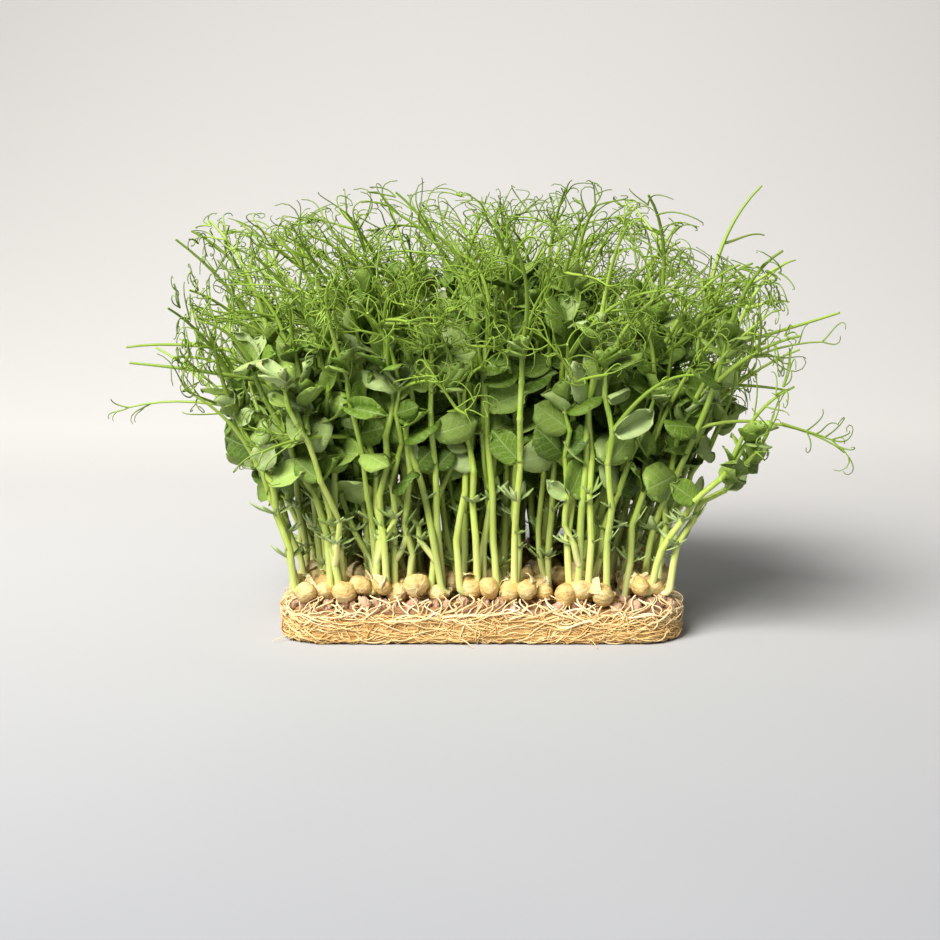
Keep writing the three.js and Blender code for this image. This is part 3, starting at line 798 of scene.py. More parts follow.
def addThread(paths, start, heading, length, tint, draw, crown=True):
    chance = draw()
    style = "coil" if chance < threadLook["coils"] else "hook"
    if threadLook["coils"] <= chance < threadLook["coils"] + threadLook["curls"]:
        style = "curl"
    stretch = threadLook["coilLength"] if style == "coil" else 1
    points, headings = growThread(start, heading, length * stretch, style, draw)
    root, end = threadLook["root"], threadLook["end"]
    addPath(paths, points, tapered(points, root, end), tint, crown)
    chance = draw()
    forks = 0 if chance > threadLook["fork"] else 2 if chance < threadLook["secondFork"] else 1
    for k in range(forks):
        at = 1 + k
        if style != "coil":
            at = max(1, round((len(points) - 1) * draw(*threadLook["forkAt"])))
        aside = headings[at].copy()
        aside.rotate(Quaternion(sideways(aside, draw), draw(*threadLook["forkSpread"])))
        forkStyle = "curl" if draw() < threadLook["forkCurls"] else "hook"
        forkLength = length * draw(*threadLook["forkShare"])
        fork, _ = growThread(points[at], aside, forkLength, forkStyle, draw)
        addPath(paths, fork, tapered(fork, root * 0.8, end * 0.9), tint, crown)


# A tuft: a leaf stalk with pairs of threads along it, and two or three at its end.
def addTuft(bunch, curve, draw, size=1.0, thick=1.0, missing=stalkLook["missing"], crown=True):
    steps = stalkLook["steps"]
    # The tint: a random tone, pulled darker by painted shade for plants deep in the block.
    tint = mixed(draw(), 0.8, 0.6 * bunch["depth"])
    stalk = sampled(curve, steps)
    radii = tapered(stalk, stalkLook["root"] * thick, stalkLook["end"] * thick)
    addPath(bunch["stalks"], stalk, radii, tint)
    ahead = vectorOf(bezierTangent(curve, 0.6))
    across = sideways(ahead, draw)
    for share in stalkLook["pairs"]:
        at = min(stalkLook["last"], share + spread(draw, stalkLook["pairPlay"]))
        start = vectorOf(bezierPoint(curve, at))
        ahead = vectorOf(bezierTangent(curve, at))
        across = (across - ahead * across.dot(ahead)).normalized()
        across.rotate(Quaternion(ahead, spread(draw, stalkLook["pairTurn"])))
        for side in (-1, 1):
            if draw() < missing:
                continue
            angle = draw(*stalkLook["spread"])
            heading = ahead * math.cos(angle) + across * (side * math.sin(angle))
            length = draw(*stalkLook["length"]) * size * (1.2 - 0.4 * share)
            addThread(bunch["threads"], start, heading, length, tint, draw, crown)
    for side in (-1, 1, 0):
        if side == 0 and draw() < stalkLook["lastMissing"]:
            break
        heading = ahead + across * (side * draw(*stalkLook["lastSpread"]))
        length = draw(stalkLook["length"][0], stalkLook["lastLongest"]) * size
        addThread(bunch["threads"], stalk[-1], heading, length, tint, draw, crown)


# Tight young tendrils at the tip of a shoot, with a few small leaves.
# Each leaf is given by its form and how far it may turn away from the stem.
tipLook = {"threads": 2, "spread": [0.3, 1.0], "coils": 0.35, "length": [8, 15], "root": 0.32, "end": 0.16,
           "leaves": [[8, 0.2, 0.7], [9, 0.2, 0.7], [1, 0.6, 1.5], [6, 0.6, 1.5]],
           "leafLength": [10, 17], "leafTint": [0.3, 1], "paintedShade": 0.7}


def addTip(bunch, stem, draw):
    start = vectorOf(bezierPoint(stem, 1))
    ahead = vectorOf(bezierTangent(stem, 0.98))
    tint = draw()
    for _ in range(tipLook["threads"]):
        heading = ahead + sideways(ahead, draw) * draw(*tipLook["spread"])
        style = "coil" if draw() < tipLook["coils"] else "curl"
        points, _ = growThread(start, heading, draw(*tipLook["length"]), style, draw)
        addPath(bunch["threads"], points, tapered(points, tipLook["root"], tipLook["end"]), tint, True)
    for form, least, most in tipLook["leaves"]:
        side = sideways(ahead, draw)
        axis = (ahead + side.cross(ahead) * draw(least, most)).normalized()
        side = (side - axis * side.dot(axis)).normalized()
        length = draw(*tipLook["leafLength"])
        # Painted shade: the leaves of plants deep in the block are darker.
        tint = draw(*tipLook["leafTint"]) * (1 - tipLook["paintedShade"] * bunch["depth"])
        addForm(bunch["leaves"], start, axis, side, axis.cross(side), length, form, tint)


bladeLook = {"waved": 0.45, "folded": 0.14, "paintedShade": 0.75}


def addBlade(bunch, blade, draw):
    form = blade["form"] + leafForms["waved" if draw() < bladeLook["waved"] else "open"]
    if draw() < bladeLook["folded"]:
        form = leafForms["folded"][0 if draw() < 0.5 else 1]
    axis, side, normal = [vectorOf(blade[key]) for key in ("axis", "side", "normal")]
    # Painted shade: the leaves of plants deep in the block are darker.
    tint = draw() * (1 - bladeLook["paintedShade"] * bunch["depth"])
    addForm(bunch["leaves"], vectorOf(blade["foot"]), axis, side, normal, blade["length"], form, tint)


# The forked bracts at the low joints, each three narrow lobes from one point.
bractLook = {"missing": 0.15, "single": 0.4, "turn": 0.4, "rise": [0.2, 0.9], "length": [5, 10],
             "lobeShare": [0.7, 1.1], "tint": [0.75, 1.0], "off": 0.9}


def addBracts(bunch, stem, knees, draw):
    for t in knees["low"]:
        facing = draw(0, 2 * math.pi)
        if draw() < bractLook["missing"]:
            continue
        start = vectorOf(bezierPoint(stem, t) + kneeAt(knees, t))
        for k in range(1 if draw() < bractLook["single"] else 2):
            azimuth = facing + math.pi * k + spread(draw, bractLook["turn"])
            out = vectorOf(direction(azimuth, draw(*bractLook["rise"])))
            side = Vector((0, 0, 1)).cross(out).normalized()
            foot = start + out * bractLook["off"]
            length = draw(*bractLook["length"])
            for form in leafForms["lobes"]:
                share = draw(*bractLook["lobeShare"])
                addForm(bunch["leaves"], foot, out, side, out.cross(side), length * share, form,
                        draw(*bractLook["tint"]))


def newBunch():
    return {"stems": newPaths(), "stalks": newPaths(), "threads": newPaths(), "leaves": newForms(),
            "depth": 0.0}


# How deep in the block a plant stands: 0 at its rim, 1 in the middle. Deep ones get painted shade, a darker
# green where the block's inside lies in shade.
blockRim = {"x": 82, "y": 54}


def shadeDepthOf(foot):
    return max(0.0, 1 - max(abs(foot[0]) / blockRim["x"], abs(foot[1]) / blockRim["y"]) ** 3)


def laneOf(foot):
    nearest = [abs(foot[1] - centre) for centre in lanes["centres"]]
    return nearest.index(min(nearest))


# The leaves that stand opposite the solids' own: joint and side, for the main stem and the side shoot.
partnerPlaces = [[(0, -1), (2, 1)], [(1, -1), (2, 1)]]
plantLook = {"sideThick": 0.85, "midMissing": 0.6,
             "whole": {"size": 1, "thick": 1, "share": 1},
             "stray": {"size": 0.6, "thick": 0.75, "share": 0.93},
             "branch": {"size": 0.7, "thick": 0.62, "missing": 0.4}}


def dressPlant(bunch, plant):
    number = plant["number"]
    bunch["depth"] = shadeDepthOf(plant["foot"])
    draw = drawer("plant", number)
    for shoot, stem in enumerate(plant["shoots"]):
        own = number * 2 + shoot
        knees = kneesOf(joints, drawer("knees", own), stemLook["knee"])
        thin = plantLook["sideThick"] if shoot else 1
        addStem(bunch, stem, joints, knees, drawer("stem", own), thin=thin)
        addTip(bunch, stem, drawer("tip", own))
        addBracts(bunch, stem, knees, drawer("bracts", own))
        for joint, turn in partnerPlaces[shoot]:
            partner = drawer("partner", number * 40 + shoot * 20 + joint)
            addBlade(bunch, growBlade(stem, joints[joint], turn, plant["outward"], partner, False), draw)
    for blade in plant["blades"]:
        addBlade(bunch, blade, draw)
    for order, tendril in enumerate(plant["tendrils"]):
        missing = plantLook["midMissing"] if tendril["t"] == joints[1] else stalkLook["missing"]
        look = plantLook["stray" if tendril["stray"] else "whole"]
        root = tendril["curve"][0]
        curve = [root + (point - root) * look["share"] for point in tendril["curve"]]
        crown = not tendril["stray"]
        own = number * 20 + order
        addTuft(bunch, curve, drawer("tuft", own), look["size"], look["thick"], missing, crown)
        if tendril["branch"] is not None:
            look = plantLook["branch"]
            addTuft(bunch, tendril["branch"], drawer("branchTuft", own), look["size"], look["thick"],
                    look["missing"], crown)


# The plants between the ones that the solids have. Those of the outer rows grow out of the peas there.
# A row is given by its place across the mat and how many plants it has at most.
fillRows = [[-46, 11], [-31, 10], [-21, 10], [-5, 11], [5, 10], [21, 10], [31, 10], [46, 11]]
footLook = {"halfLength": 77, "swayX": 2.6, "swayY": 2.0, "height": 15.0, "clear": 4.6,
            "outerMissing": 0.12, "outerTurn": 0.5, "outerClear": 3.4, "outerReach": 6.0, "outerRise": 4.6,
            "lead": [[2.2, 0], [4.4, 0.6], [5.6, 2.4]]}
fillLook = {"sideShoots": 0.3, "sideThin": 0.12, "inner": [60, 38], "tall": [0.8, 1.02],
            "fallRight": 0.2, "fallLeft": 0.08, "gather": [0.86, 0.84], "flare": 0.08, "tilt": 0.2,
            "lean": 17, "leanAcross": 0.6, "edgeLean": 0.6, "lowerLean": 0.25, "upperLean": 0.75,
            "joints": [0.5, 0.69, 0.87], "jointPlay": 0.05, "topJoint": 0.97,
            "leafMissing": 0.48, "innerMissing": 0.12, "leafTurn": [0.9, 1.8], "leafRise": [0.1, 1.15],
            "faceTurn": 0.5, "leafFace": [-0.35, 0.75], "leafRoll": 0.4, "leafLength": [10, 20.5],
            "tendrils": 0.7, "midTendrils": 0.3, "stalkShare": [0.65, 1.0],
            "tuftSize": [0.7, 1.0], "tuftThick": 0.95, "threadMissing": 0.44}


def fillFeet():
    feet = []
    taken = [plant["foot"][:2] for plant in plants]

    def keepFoot(foot, clear, fromPea, lead):
        if min(math.hypot(*(foot[:2] - other)) for other in taken) > clear:
            taken.append(foot[:2])
            feet.append({"foot": foot, "fromPea": fromPea, "lead": lead})

    half = footLook["halfLength"]
    for row, (y, count) in enumerate(fillRows):
        for i in range(count):
            draw = drawer("fillFoot", row * 40 + i)
            foot = np.array([mixed(-half, half, i / (count - 1)) + spread(draw, footLook["swayX"]),
                             y + spread(draw, footLook["swayY"]), footLook["height"]])
            keepFoot(foot, footLook["clear"], False, [])
    for row in (0, len(peaSize["rowCentres"]) - 1):
        for i, centre in enumerate(peaCentres(row)):
            draw = drawer("outerFoot", row * 40 + i)
            way = spread(draw, footLook["outerTurn"]) + (0 if draw() < 0.5 else math.pi)
            if draw() < footLook["outerMissing"]:
                continue
            out = direction(way, 0)
            lead = [vectorOf(centre + out * reach + [0, 0, rise]) for reach, rise in footLook["lead"]]
            foot = centre + out * footLook["outerReach"] + [0, 0, footLook["outerRise"]]
            keepFoot(foot, footLook["outerClear"], True, lead)
    return feet


# The main stem of a fill plant: gathered towards the middle, lower at the sides, and leaning at random.
def fillStem(number, foot, draw):
    stem = mainStem(number, foot, False)
    edge = (foot[0] / footLook["halfLength"]) ** 2
    tall = draw(*fillLook["tall"]) - fillLook["fallRight" if foot[0] > 0 else "fallLeft"] * edge
    gather = np.array([fillLook["gather"][0] + fillLook["flare"] * edge, fillLook["gather"][1], tall])
    lean = np.array([draw(-1, 1), spread(draw, fillLook["leanAcross"]), 0])
    lean = lean * fillLook["lean"] * (1 - fillLook["edgeLean"] * edge)
    away = (stem[3] - foot) * [fillLook["tilt"], fillLook["tilt"], 0]
    return [stem[0], stem[1] + away + lean * fillLook["lowerLean"],
            stem[2] * gather + lean * fillLook["upperLean"], stem[3] * gather + lean]


# A leaf of a fill plant stands up more, with its face turned out.
def fillBlade(stem, t, knees, turn, outward, draw):
    axis = direction(outward + turn * draw(*fillLook["leafTurn"]), draw(*fillLook["leafRise"]))
    face = direction(outward + spread(draw, fillLook["faceTurn"]), draw(*fillLook["leafFace"]))
    side = turned(unit(np.cross(face, axis)), axis, spread(draw, fillLook["leafRoll"]))
    length = draw(*fillLook["leafLength"])
    return {"foot": bezierPoint(stem, t) + kneeAt(knees, t), "axis": axis, "side": side,
            "normal": np.cross(axis, side), "length": length, "form": math.floor(draw(0, len(bladeForms)))}


# The tendrils of a fill plant all rise, also those from its joints.
def fillTendrils(bunch, stem, nodes, knees, outward, inner, number, shoot, draw):
    places = [1] if shoot else [1, nodes[2], nodes[1]]
    for order, t in enumerate(places):
        chance = fillLook["tendrils"]
        if order == 2:
            chance = 0 if inner else fillLook["midTendrils"]
        if draw() < chance:
            own = number * 40 + shoot * 20 + order
            rising = growTendril(stem, 1, outward, drawer("fillTuft", own), False)
            share = draw(*fillLook["stalkShare"])
            start = bezierPoint(stem, t) + kneeAt(knees, t)
            curve = [start + (point - rising[0]) * share for point in rising]
            addTuft(bunch, curve, drawer("fillTuft", own + 10), draw(*fillLook["tuftSize"]),
                    fillLook["tuftThick"], fillLook["threadMissing"])


def fillPlant(bunch, place, number):
    foot = place["foot"]
    bunch["depth"] = shadeDepthOf(foot)
    draw = drawer("fill", number)
    outward = outwardOf(foot, draw)
    main = fillStem(number, foot, draw)
    inner = abs(foot[0]) < fillLook["inner"][0] and abs(foot[1]) < fillLook["inner"][1]
    missing = fillLook["innerMissing" if inner else "leafMissing"]
    shoots = [main]
    if draw() < fillLook["sideShoots"]:
        shoots.append(sideStem(number, main, None, outward, False))
    for shoot, stem in enumerate(shoots):
        nodes = [joint + spread(draw, fillLook["jointPlay"]) for joint in fillLook["joints"]]
        own = number * 2 + shoot
        lead = () if shoot else place["lead"]
        knees = kneesOf(nodes, drawer("fillKnees", own), stemLook["fillKnee"])
        addStem(bunch, stem, nodes, knees, drawer("fillStem", own), lead, 1 - fillLook["sideThin"] * shoot)
        addTip(bunch, stem, drawer("fillTip", own))
        addBracts(bunch, stem, knees, drawer("fillBracts", own))
        for node in nodes + [fillLook["topJoint"]]:
            for side in (-1, 1):
                if draw() > missing:
                    addBlade(bunch, fillBlade(stem, node, knees, side, outward, draw), draw)
        fillTendrils(bunch, stem, nodes, knees, outward, inner, number, shoot, draw)


bunches = [newBunch() for lane in lanes["centres"]]
for plant in plants:
    dressPlant(bunches[plant["lane"]], plant)
fills = fillFeet()
for number, place in enumerate(fills, len(plants)):
    fillPlant(bunches[laneOf(place["foot"])], place, number)
print("pea shoots: plants in all,", len(plants) + len(fills))
for bunch in bunches:
    print("  lane:", {key: len(bunch[key]["co"]) for key in ("stems", "stalks", "threads", "leaves")})


# Peas: cracked cream skins over two halves, some with a torn flap of skin.
peaLook = {"forms": 5, "around": 14, "levels": 9, "size": [4.1, 5.3], "missing": 0.1, "slide": 0.9,
           "rowSway": 1.6, "outwards": 1.6, "sway": 1.9, "lift": [-1.0, 4.2],
           "stemAt": 0.07, "fromStem": 5.0, "low": 19.4, "rise": 4.6, "apart": 7.2, "fromEdge": 6,
           "tries": 10}
flapLook = {"forms": 3, "rows": 4, "columns": 5, "thickness": 0.035, "share": 0.9, "size": 1.02, "lean": 1.2}


def makePeaForms():
    collection = bpy.data.collections.new("peaForms")
    for number in range(peaLook["forms"]):
        dent = Vector((math.sin(2.1 * number), math.cos(3.3 * number), 0.4 - 0.2 * number)).normalized()

        def radiusAt(facing):
            seam = 0.1 * math.exp(-(facing.x / 0.16) ** 2) * (0.4 + 0.6 * max(0, facing.z))
            hollow = 0.18 * math.exp(-(facing - dent).length_squared / 0.2)
            lump = 0.16 * noise.noise(facing * 1.5 + Vector((number * 3.1, 0, 0)))
            torn = 0.06 if noise.noise(facing * 1.3 + Vector((0, number * 2.3, 5))) > 0.05 else 0
            beak = 0.3 * math.exp(-(facing - Vector((0.75, 0.1 * number - 0.2, 0.64))).length_squared / 0.07)
            stretch = 1 + 0.14 * facing.x ** 2 - 0.12 * facing.y ** 2
            return (1 - seam - hollow + lump + torn + beak) * stretch * (1 - 0.1 * abs(facing.z))
        ballForm(f"pea_{number:02d}", collection, peaLook["around"], peaLook["levels"], radiusAt)
    return collection


def makeFlapForms():
    collection = bpy.data.collections.new("flapForms")
    for number in range(flapLook["forms"]):
        def pointAt(along, across):
            lift = 0.08 + (0.34 + 0.12 * number) * along * along
            turn = (0.15 + 1.0 * along) * (1 - 0.2 * across * across)
            wide = across * (0.85 - 0.55 * along) * (1 + 0.16 * math.sin(5 * along + number))
            radius = 1.0 + lift + 0.05 * math.sin(6 * across + 4 * along + number)
            return Vector((math.cos(turn) * math.cos(wide), math.cos(turn) * math.sin(wide),
                           math.sin(turn))) * radius
        gridForm(f"flap_{number:02d}", collection, flapLook["rows"], flapLook["columns"], pointAt,
                 flapLook["thickness"])
    return collection


def turnedForm(forms, place, draw, size, form, tint, lean=math.pi):
    turn = Quaternion(Vector((0, 0, 1)), draw(0, 2 * math.pi))
    turn = Quaternion(vectorOf(direction(draw(0, 2 * math.pi), 0)), draw(0, lean)) @ turn
    axis, side, normal = [turn @ Vector(v) for v in ((1, 0, 0), (0, 1, 0), (0, 0, 1))]
    addForm(forms, place, axis, side, normal, size, form, tint)


def placePeas():
    centres = []
    lastRow = len(peaSize["rowCentres"]) - 1
    for row in range(lastRow + 1):
        for i, centre in enumerate(peaCentres(row)):
            draw = drawer("pea", row * 40 + i)
            sway = peaLook["rowSway"] * (1 if i % 2 else -1)
            outer = {0: -1, lastRow: 1}.get(row, 0)
            sway += outer * peaLook["outwards"] + spread(draw, peaLook["sway"])
            if draw() > peaLook["missing"]:
                centres.append(centre + [spread(draw, peaLook["slide"]), sway, draw(*peaLook["lift"])])
    spots = [bezierPoint(plant["shoots"][0], peaLook["stemAt"]) for plant in plants]
    spots += [place["foot"] for place in fills if not place["fromPea"]]
    halfX = matSize["length"] / 2 - peaLook["fromEdge"]
    halfY = matSize["depth"] / 2 - peaLook["fromEdge"]
    for number, spot in enumerate(spots):
        draw = drawer("loosePea", number)
        for _ in range(peaLook["tries"]):
            out = direction(draw(0, 2 * math.pi), 0) * peaLook["fromStem"]
            centre = np.array([spot[0] + out[0], spot[1] + out[1], peaLook["low"] + draw(0, peaLook["rise"])])
            inside = abs(centre[0]) < halfX and abs(centre[1]) < halfY
            if inside and min(np.linalg.norm(centre - other) for other in centres) > peaLook["apart"]:
                centres.append(centre)
                break
    return centres


peaPlaces = placePeas()
peaForms, flapForms = newForms(), newForms()
for number, centre in enumerate(peaPlaces):
    draw = drawer("peaTurn", number)
    size = draw(*peaLook["size"])
    turnedForm(peaForms, centre, draw, size, math.floor(draw(0, peaLook["forms"])), draw())
    if draw() < flapLook["share"]:
        turnedForm(flapForms, centre, draw, size * flapLook["size"], math.floor(draw(0, flapLook["forms"])),
                   draw(), flapLook["lean"])
print("pea shoots: peas,", len(peaPlaces))


# The root mat: a felted slab, covered by single strands.

# A point of the mat's outline: how far round it is, and how far inside. The third value is the way out.
def outlinePoint(share, inset):
    halfX = matSize["length"] / 2 - matSize["cornerRadius"]
    halfY = matSize["depth"] / 2 - matSize["cornerRadius"]
    arc = math.pi / 2 * matSize["cornerRadius"]
    radius = matSize["cornerRadius"] - inset
    run = (share % 1) * 4 * (halfX + halfY + arc)
    sides = ((2 * halfX, -halfX, -halfY, 1, 0, -math.pi / 2), (2 * halfY, halfX, -halfY, 0, 1, 0),
             (2 * halfX, halfX, halfY, -1, 0, math.pi / 2), (2 * halfY, -halfX, halfY, 0, -1, math.pi))
    for length, x, y, alongX, alongY, out in sides:
        straight = min(run, length)
        cornerX = x + alongX * straight
        cornerY = y + alongY * straight
        run -= length
        if run <= 0:
            return cornerX + math.cos(out) * radius, cornerY + math.sin(out) * radius, out
        turn = min(run, arc) / arc * math.pi / 2
        run -= arc
        if run <= 0:
            angle = out + turn
            return cornerX + math.cos(angle) * radius, cornerY + math.sin(angle) * radius, angle
    return outlinePoint(0, inset)


matPerimeter = 4 * (matSize["length"] / 2 + matSize["depth"] / 2
                    - (2 - math.pi / 2) * matSize["cornerRadius"])
# The felt's side, from the middle below to the middle above, by inset and height. The innermost rings
# are drawn in further by the shares in "inner".
feltLook = {"around": 150, "profile": [[18, 0.5], [10, 0.45], [4, 0.5], [1.6, 0.7], [0.5, 1.6], [0.2, 3.2],
                                       [0.3, 5.4], [0.2, 7.6], [0.3, 9.8], [0.4, 11.8], [1.0, 13.4],
                                       [2.2, 14.5], [4.5, 15], [10, 15], [18, 15]],
            "inner": [0.72, 0.44, 0.16], "rough": 0.55, "topFrom": 12, "topRough": 1.4,
            "sideFrom": 1, "sideTo": 14.8, "sideRough": 1.3}


def makeFelt(skin):
    around, profile = feltLook["around"], feltLook["profile"]
    rings = [(*profile[0], scale) for scale in reversed(feltLook["inner"])]
    rings += [(inset, z, 1) for inset, z in profile]
    rings += [(*profile[-1], scale) for scale in feltLook["inner"]]
    points = []
    for inset, z, scale in rings:
        for i in range(around):
            x, y, out = outlinePoint(i / around, inset)
            spot = Vector((x * scale, y * scale, z))
            rough = noise.noise(Vector((spot.x * 0.12, spot.y * 0.12, z * 0.5)))
            rough += 0.5 * noise.noise(Vector((spot.x * 0.4, spot.y * 0.4, z * 0.9 + 7)))
            push = feltLook["rough"] * rough
            if z > feltLook["topFrom"]:
                spot.z += push * feltLook["topRough"]
            if feltLook["sideFrom"] < z < feltLook["sideTo"]:
                spot.x += math.cos(out) * push * feltLook["sideRough"]
                spot.y += math.sin(out) * push * feltLook["sideRough"]
            points.append(spot * mm)
    faces = []
    for k in range(len(rings) - 1):
        for i in range(around):
            j = (i + 1) % around
            low, high = k * around, (k + 1) * around
            faces.append((low + i, low + j, high + j, high + i))
    last = (len(rings) - 1) * around
    below, above = len(points), len(points) + 1
    points += [Vector((0, 0, points[first].z)) for first in (0, last)]
    for i in range(around):
        j = (i + 1) % around
        faces.append((below, j, i))
        faces.append((above, last + i, last + j))
    mesh = bpy.data.meshes.new("root_felt")
    mesh.from_pydata(points, [], faces)
    for polygon in mesh.polygons:
        polygon.use_smooth = True
    mesh.materials.append(skin)
    piece = bpy.data.objects.new("root_felt", mesh)
    bpy.context.scene.collection.objects.link(piece)
    return piece


strandLook = {"steps": 8, "sides": 3, "thick": [0.17, 0.42]}
sideLook = {"count": 1450, "run": [10, 30], "lowest": 0.6, "highest": 12.4, "slope": 0.9, "bend": 1.2,
            "sway": 0.45, "depth": [-0.65, 0.4], "wave": 0.4, "sunk": 2.2, "flat": 0.8, "taper": 0.45,
            "tint": [0.2, 1.0]}
# The strands on top are darker: partly their own brown, partly painted shade under the peas and shoots.
topLook = {"count": 300, "height": [15.1, 16.2], "tint": [0.0, 0.35]}
underLook = {"count": 200, "height": [0.3, 0.7], "tint": [0.2, 1.0]}
flatLook = {"step": 3.6, "bend": 0.5, "turn": 0.3, "wave": 0.3, "startFromEdge": 4, "fromEdge": 2.5,
            "fewest": 4}


# A strand on the mat's side wanders, turns back at the rim and the foot, and dives in at both ends.
def addSideStrand(paths, number):
    draw = drawer("sideStrand", number)
    steps, highest = strandLook["steps"], sideLook["highest"]
    share, z = draw(), draw(sideLook["lowest"], highest)
    heading = spread(draw, sideLook["slope"]) * draw(0.3, 1) + (0 if draw() < 0.5 else math.pi)
    step = draw(*sideLook["run"]) / steps
    bend, sway, phase = spread(draw, sideLook["bend"]), draw(0, sideLook["sway"]), draw(0, 2 * math.pi)
    depth, radius = draw(*sideLook["depth"]), draw(*strandLook["thick"])
    points, radii = [], []
    for i in range(steps + 1):
        t = i / steps
        height = min(highest + 0.6, max(radius + 0.1, z))
        edge = 1.6 * max(0, abs(height - 7.5) - 5.2) ** 1.3 / 3
        dive = sideLook["sunk"] * (abs(t - 0.5) * 2) ** 4
        inset = depth + edge - sideLook["wave"] * math.sin(phase * 2 + 9 * t) + dive
        x, y, _ = outlinePoint(share, inset)
        points.append((x, y, height))
        radii.append(radius * (1 - sideLook["taper"] * abs(t - 0.4)))
        heading += bend / steps + sway * math.sin(phase + 5 * t)
        if (z < 1 and math.sin(heading) < 0) or (z > highest and math.sin(heading) > 0):
            heading = -heading
        share += step * math.cos(heading) / matPerimeter
        z += step * math.sin(heading) * sideLook["flat"]
    addPath(paths, points, radii, draw(*sideLook["tint"]))


def addFlatStrand(paths, draw, look):
    halfX, halfY, corner = matSize["length"] / 2, matSize["depth"] / 2, matSize["cornerRadius"]
    x = draw(-1, 1) * (halfX - flatLook["startFromEdge"])
    y = draw(-1, 1) * (halfY - flatLook["startFromEdge"])
    way = draw(0, 2 * math.pi)
    z, radius = draw(*look["height"]), draw(*strandLook["thick"])
    bend, turn = spread(draw, flatLook["bend"]), spread(draw, flatLook["turn"])
    points = []
    for i in range(strandLook["steps"] + 1):
        points.append((x, y, max(radius + 0.05, z + flatLook["wave"] * math.sin(2 * i + way))))
        way += bend + turn * math.sin(i)
        x += flatLook["step"] * math.cos(way)
        y += flatLook["step"] * math.sin(way)
        out = math.hypot(max(0, abs(x) - (halfX - corner)), max(0, abs(y) - (halfY - corner)))
        if out > corner - flatLook["fromEdge"]:
            break
    if len(points) >= flatLook["fewest"]:
        addPath(paths, points, [radius] * len(points), draw(*look["tint"]))


# Thick pale roots: some run along the mat's side, and others come down from the crowns, bow over its edge
# and go into its side. A few loose ends stray out at its foot.
runnerLook = {"count": 150, "sides": 4, "steps": 12, "thick": [0.28, 0.62], "run": [14, 48],
              "height": [9, 14.5], "wave": [0.6, 2.6], "lowest": 5, "taper": 0.4, "sunk": 2.4, "endFall": 4}
dropLook = {"count": 280, "play": 0.4, "slide": 13, "wander": [0.8, 3.2], "high": [16.5, 20.5],
            "low": [5, 12], "arch": 1.2, "bow": [0.2, 1.9], "bowMore": 0.9, "thin": 0.85,
            "startInset": 5.5, "endInset": 0.7}
strayLook = {"count": 12, "steps": 6, "slide": 7, "length": [7, 13], "thick": [0.25, 0.4], "taper": 0.5}


def addRunner(paths, number):
    draw = drawer("runner", number)
    start = draw()
    run = draw(*runnerLook["run"]) / matPerimeter * (1 if draw() < 0.5 else -1)
    z, wave, phase = draw(*runnerLook["height"]), draw(*runnerLook["wave"]), draw(0, 2 * math.pi)
    radius, steps = draw(*runnerLook["thick"]), runnerLook["steps"]
    points = []
    for i in range(steps + 1):
        t = i / steps
        end = (abs(t - 0.5) * 2) ** 3
        waves = wave * math.sin(phase + 8 * t) + 0.5 * math.sin(19 * t + phase)
        height = max(runnerLook["lowest"], z + waves - runnerLook["endFall"] * end)
        inset = 0.9 * math.sin(phase * 3 + 8 * t) - 0.4 + runnerLook["sunk"] * end + max(0, height - 14) * 0.5
        x, y, _ = outlinePoint(start + run * t, inset)
        points.append((x, y, height))
    addPath(paths, points, tapered(points, radius, radius * (1 - runnerLook["taper"])), draw())


def addDrop(paths, number):
    draw = drawer("drop", number)
    share = (number + spread(draw, dropLook["play"])) / dropLook["count"]
    slide = spread(draw, dropLook["slide"]) / matPerimeter
    wander = draw(*dropLook["wander"]) / matPerimeter
    high, low = draw(*dropLook["high"]), draw(*dropLook["low"])
    bow = draw(*dropLook["bow"]) + dropLook["bowMore"]
    radius, steps = draw(*runnerLook["thick"]) * dropLook["thin"], runnerLook["steps"]
    points = []
    for i in range(steps + 1):
        t = i / steps
        height = mixed(high, low, t) + dropLook["arch"] * math.sin(math.pi * t)
        inset = mixed(dropLook["startInset"], dropLook["endInset"], min(1, t * 1.6))
        inset -= bow * math.sin(math.pi * min(1, t * 1.1)) ** 2
        x, y, _ = outlinePoint(share + slide * t + wander * math.sin(7 * t + number), inset)
        points.append((x, y, height))
    addPath(paths, points, tapered(points, radius, radius * (1 - runnerLook["taper"])), draw())


def addStrayRoot(paths, number):
    draw = drawer("strayRoot", number)
    share, slide = draw(), spread(draw, strayLook["slide"]) / matPerimeter
    length, radius = draw(*strayLook["length"]), draw(*strayLook["thick"])
    points = []
    for i in range(strayLook["steps"] + 1):
        t = i / strayLook["steps"]
        x, y, _ = outlinePoint(share + slide * t, 1.5 - length * t * 0.75)
        points.append((x, y, max(radius + 0.1, mixed(2.4, 0.3, t) + 0.9 * math.sin(3 * t))))
    addPath(paths, points, tapered(points, radius, radius * (1 - strayLook["taper"])), draw())


strands, runners = newPaths(), newPaths()
for number in range(sideLook["count"]):
    addSideStrand(strands, number)
for use, look in (("topStrand", topLook), ("underStrand", underLook)):
    for number in range(look["count"]):
        addFlatStrand(strands, drawer(use, number), look)
for look, addRoot in ((runnerLook, addRunner), (dropLook, addDrop), (strayLook, addStrayRoot)):
    for number in range(look["count"]):
        addRoot(runners, number)


# Root crowns: the brown-pink knots under the peas, where each shoot and its roots part.
crownLook = {"forms": 3, "around": 9, "levels": 6, "size": [1.8, 3.2], "edgeCount": 96, "play": 0.4,
             "inset": [2.6, 7.5], "height": [13.4, 17], "lean": 0.9,
             "footHeight": [15, 16.5], "footShare": 0.8, "footLean": 0.6}


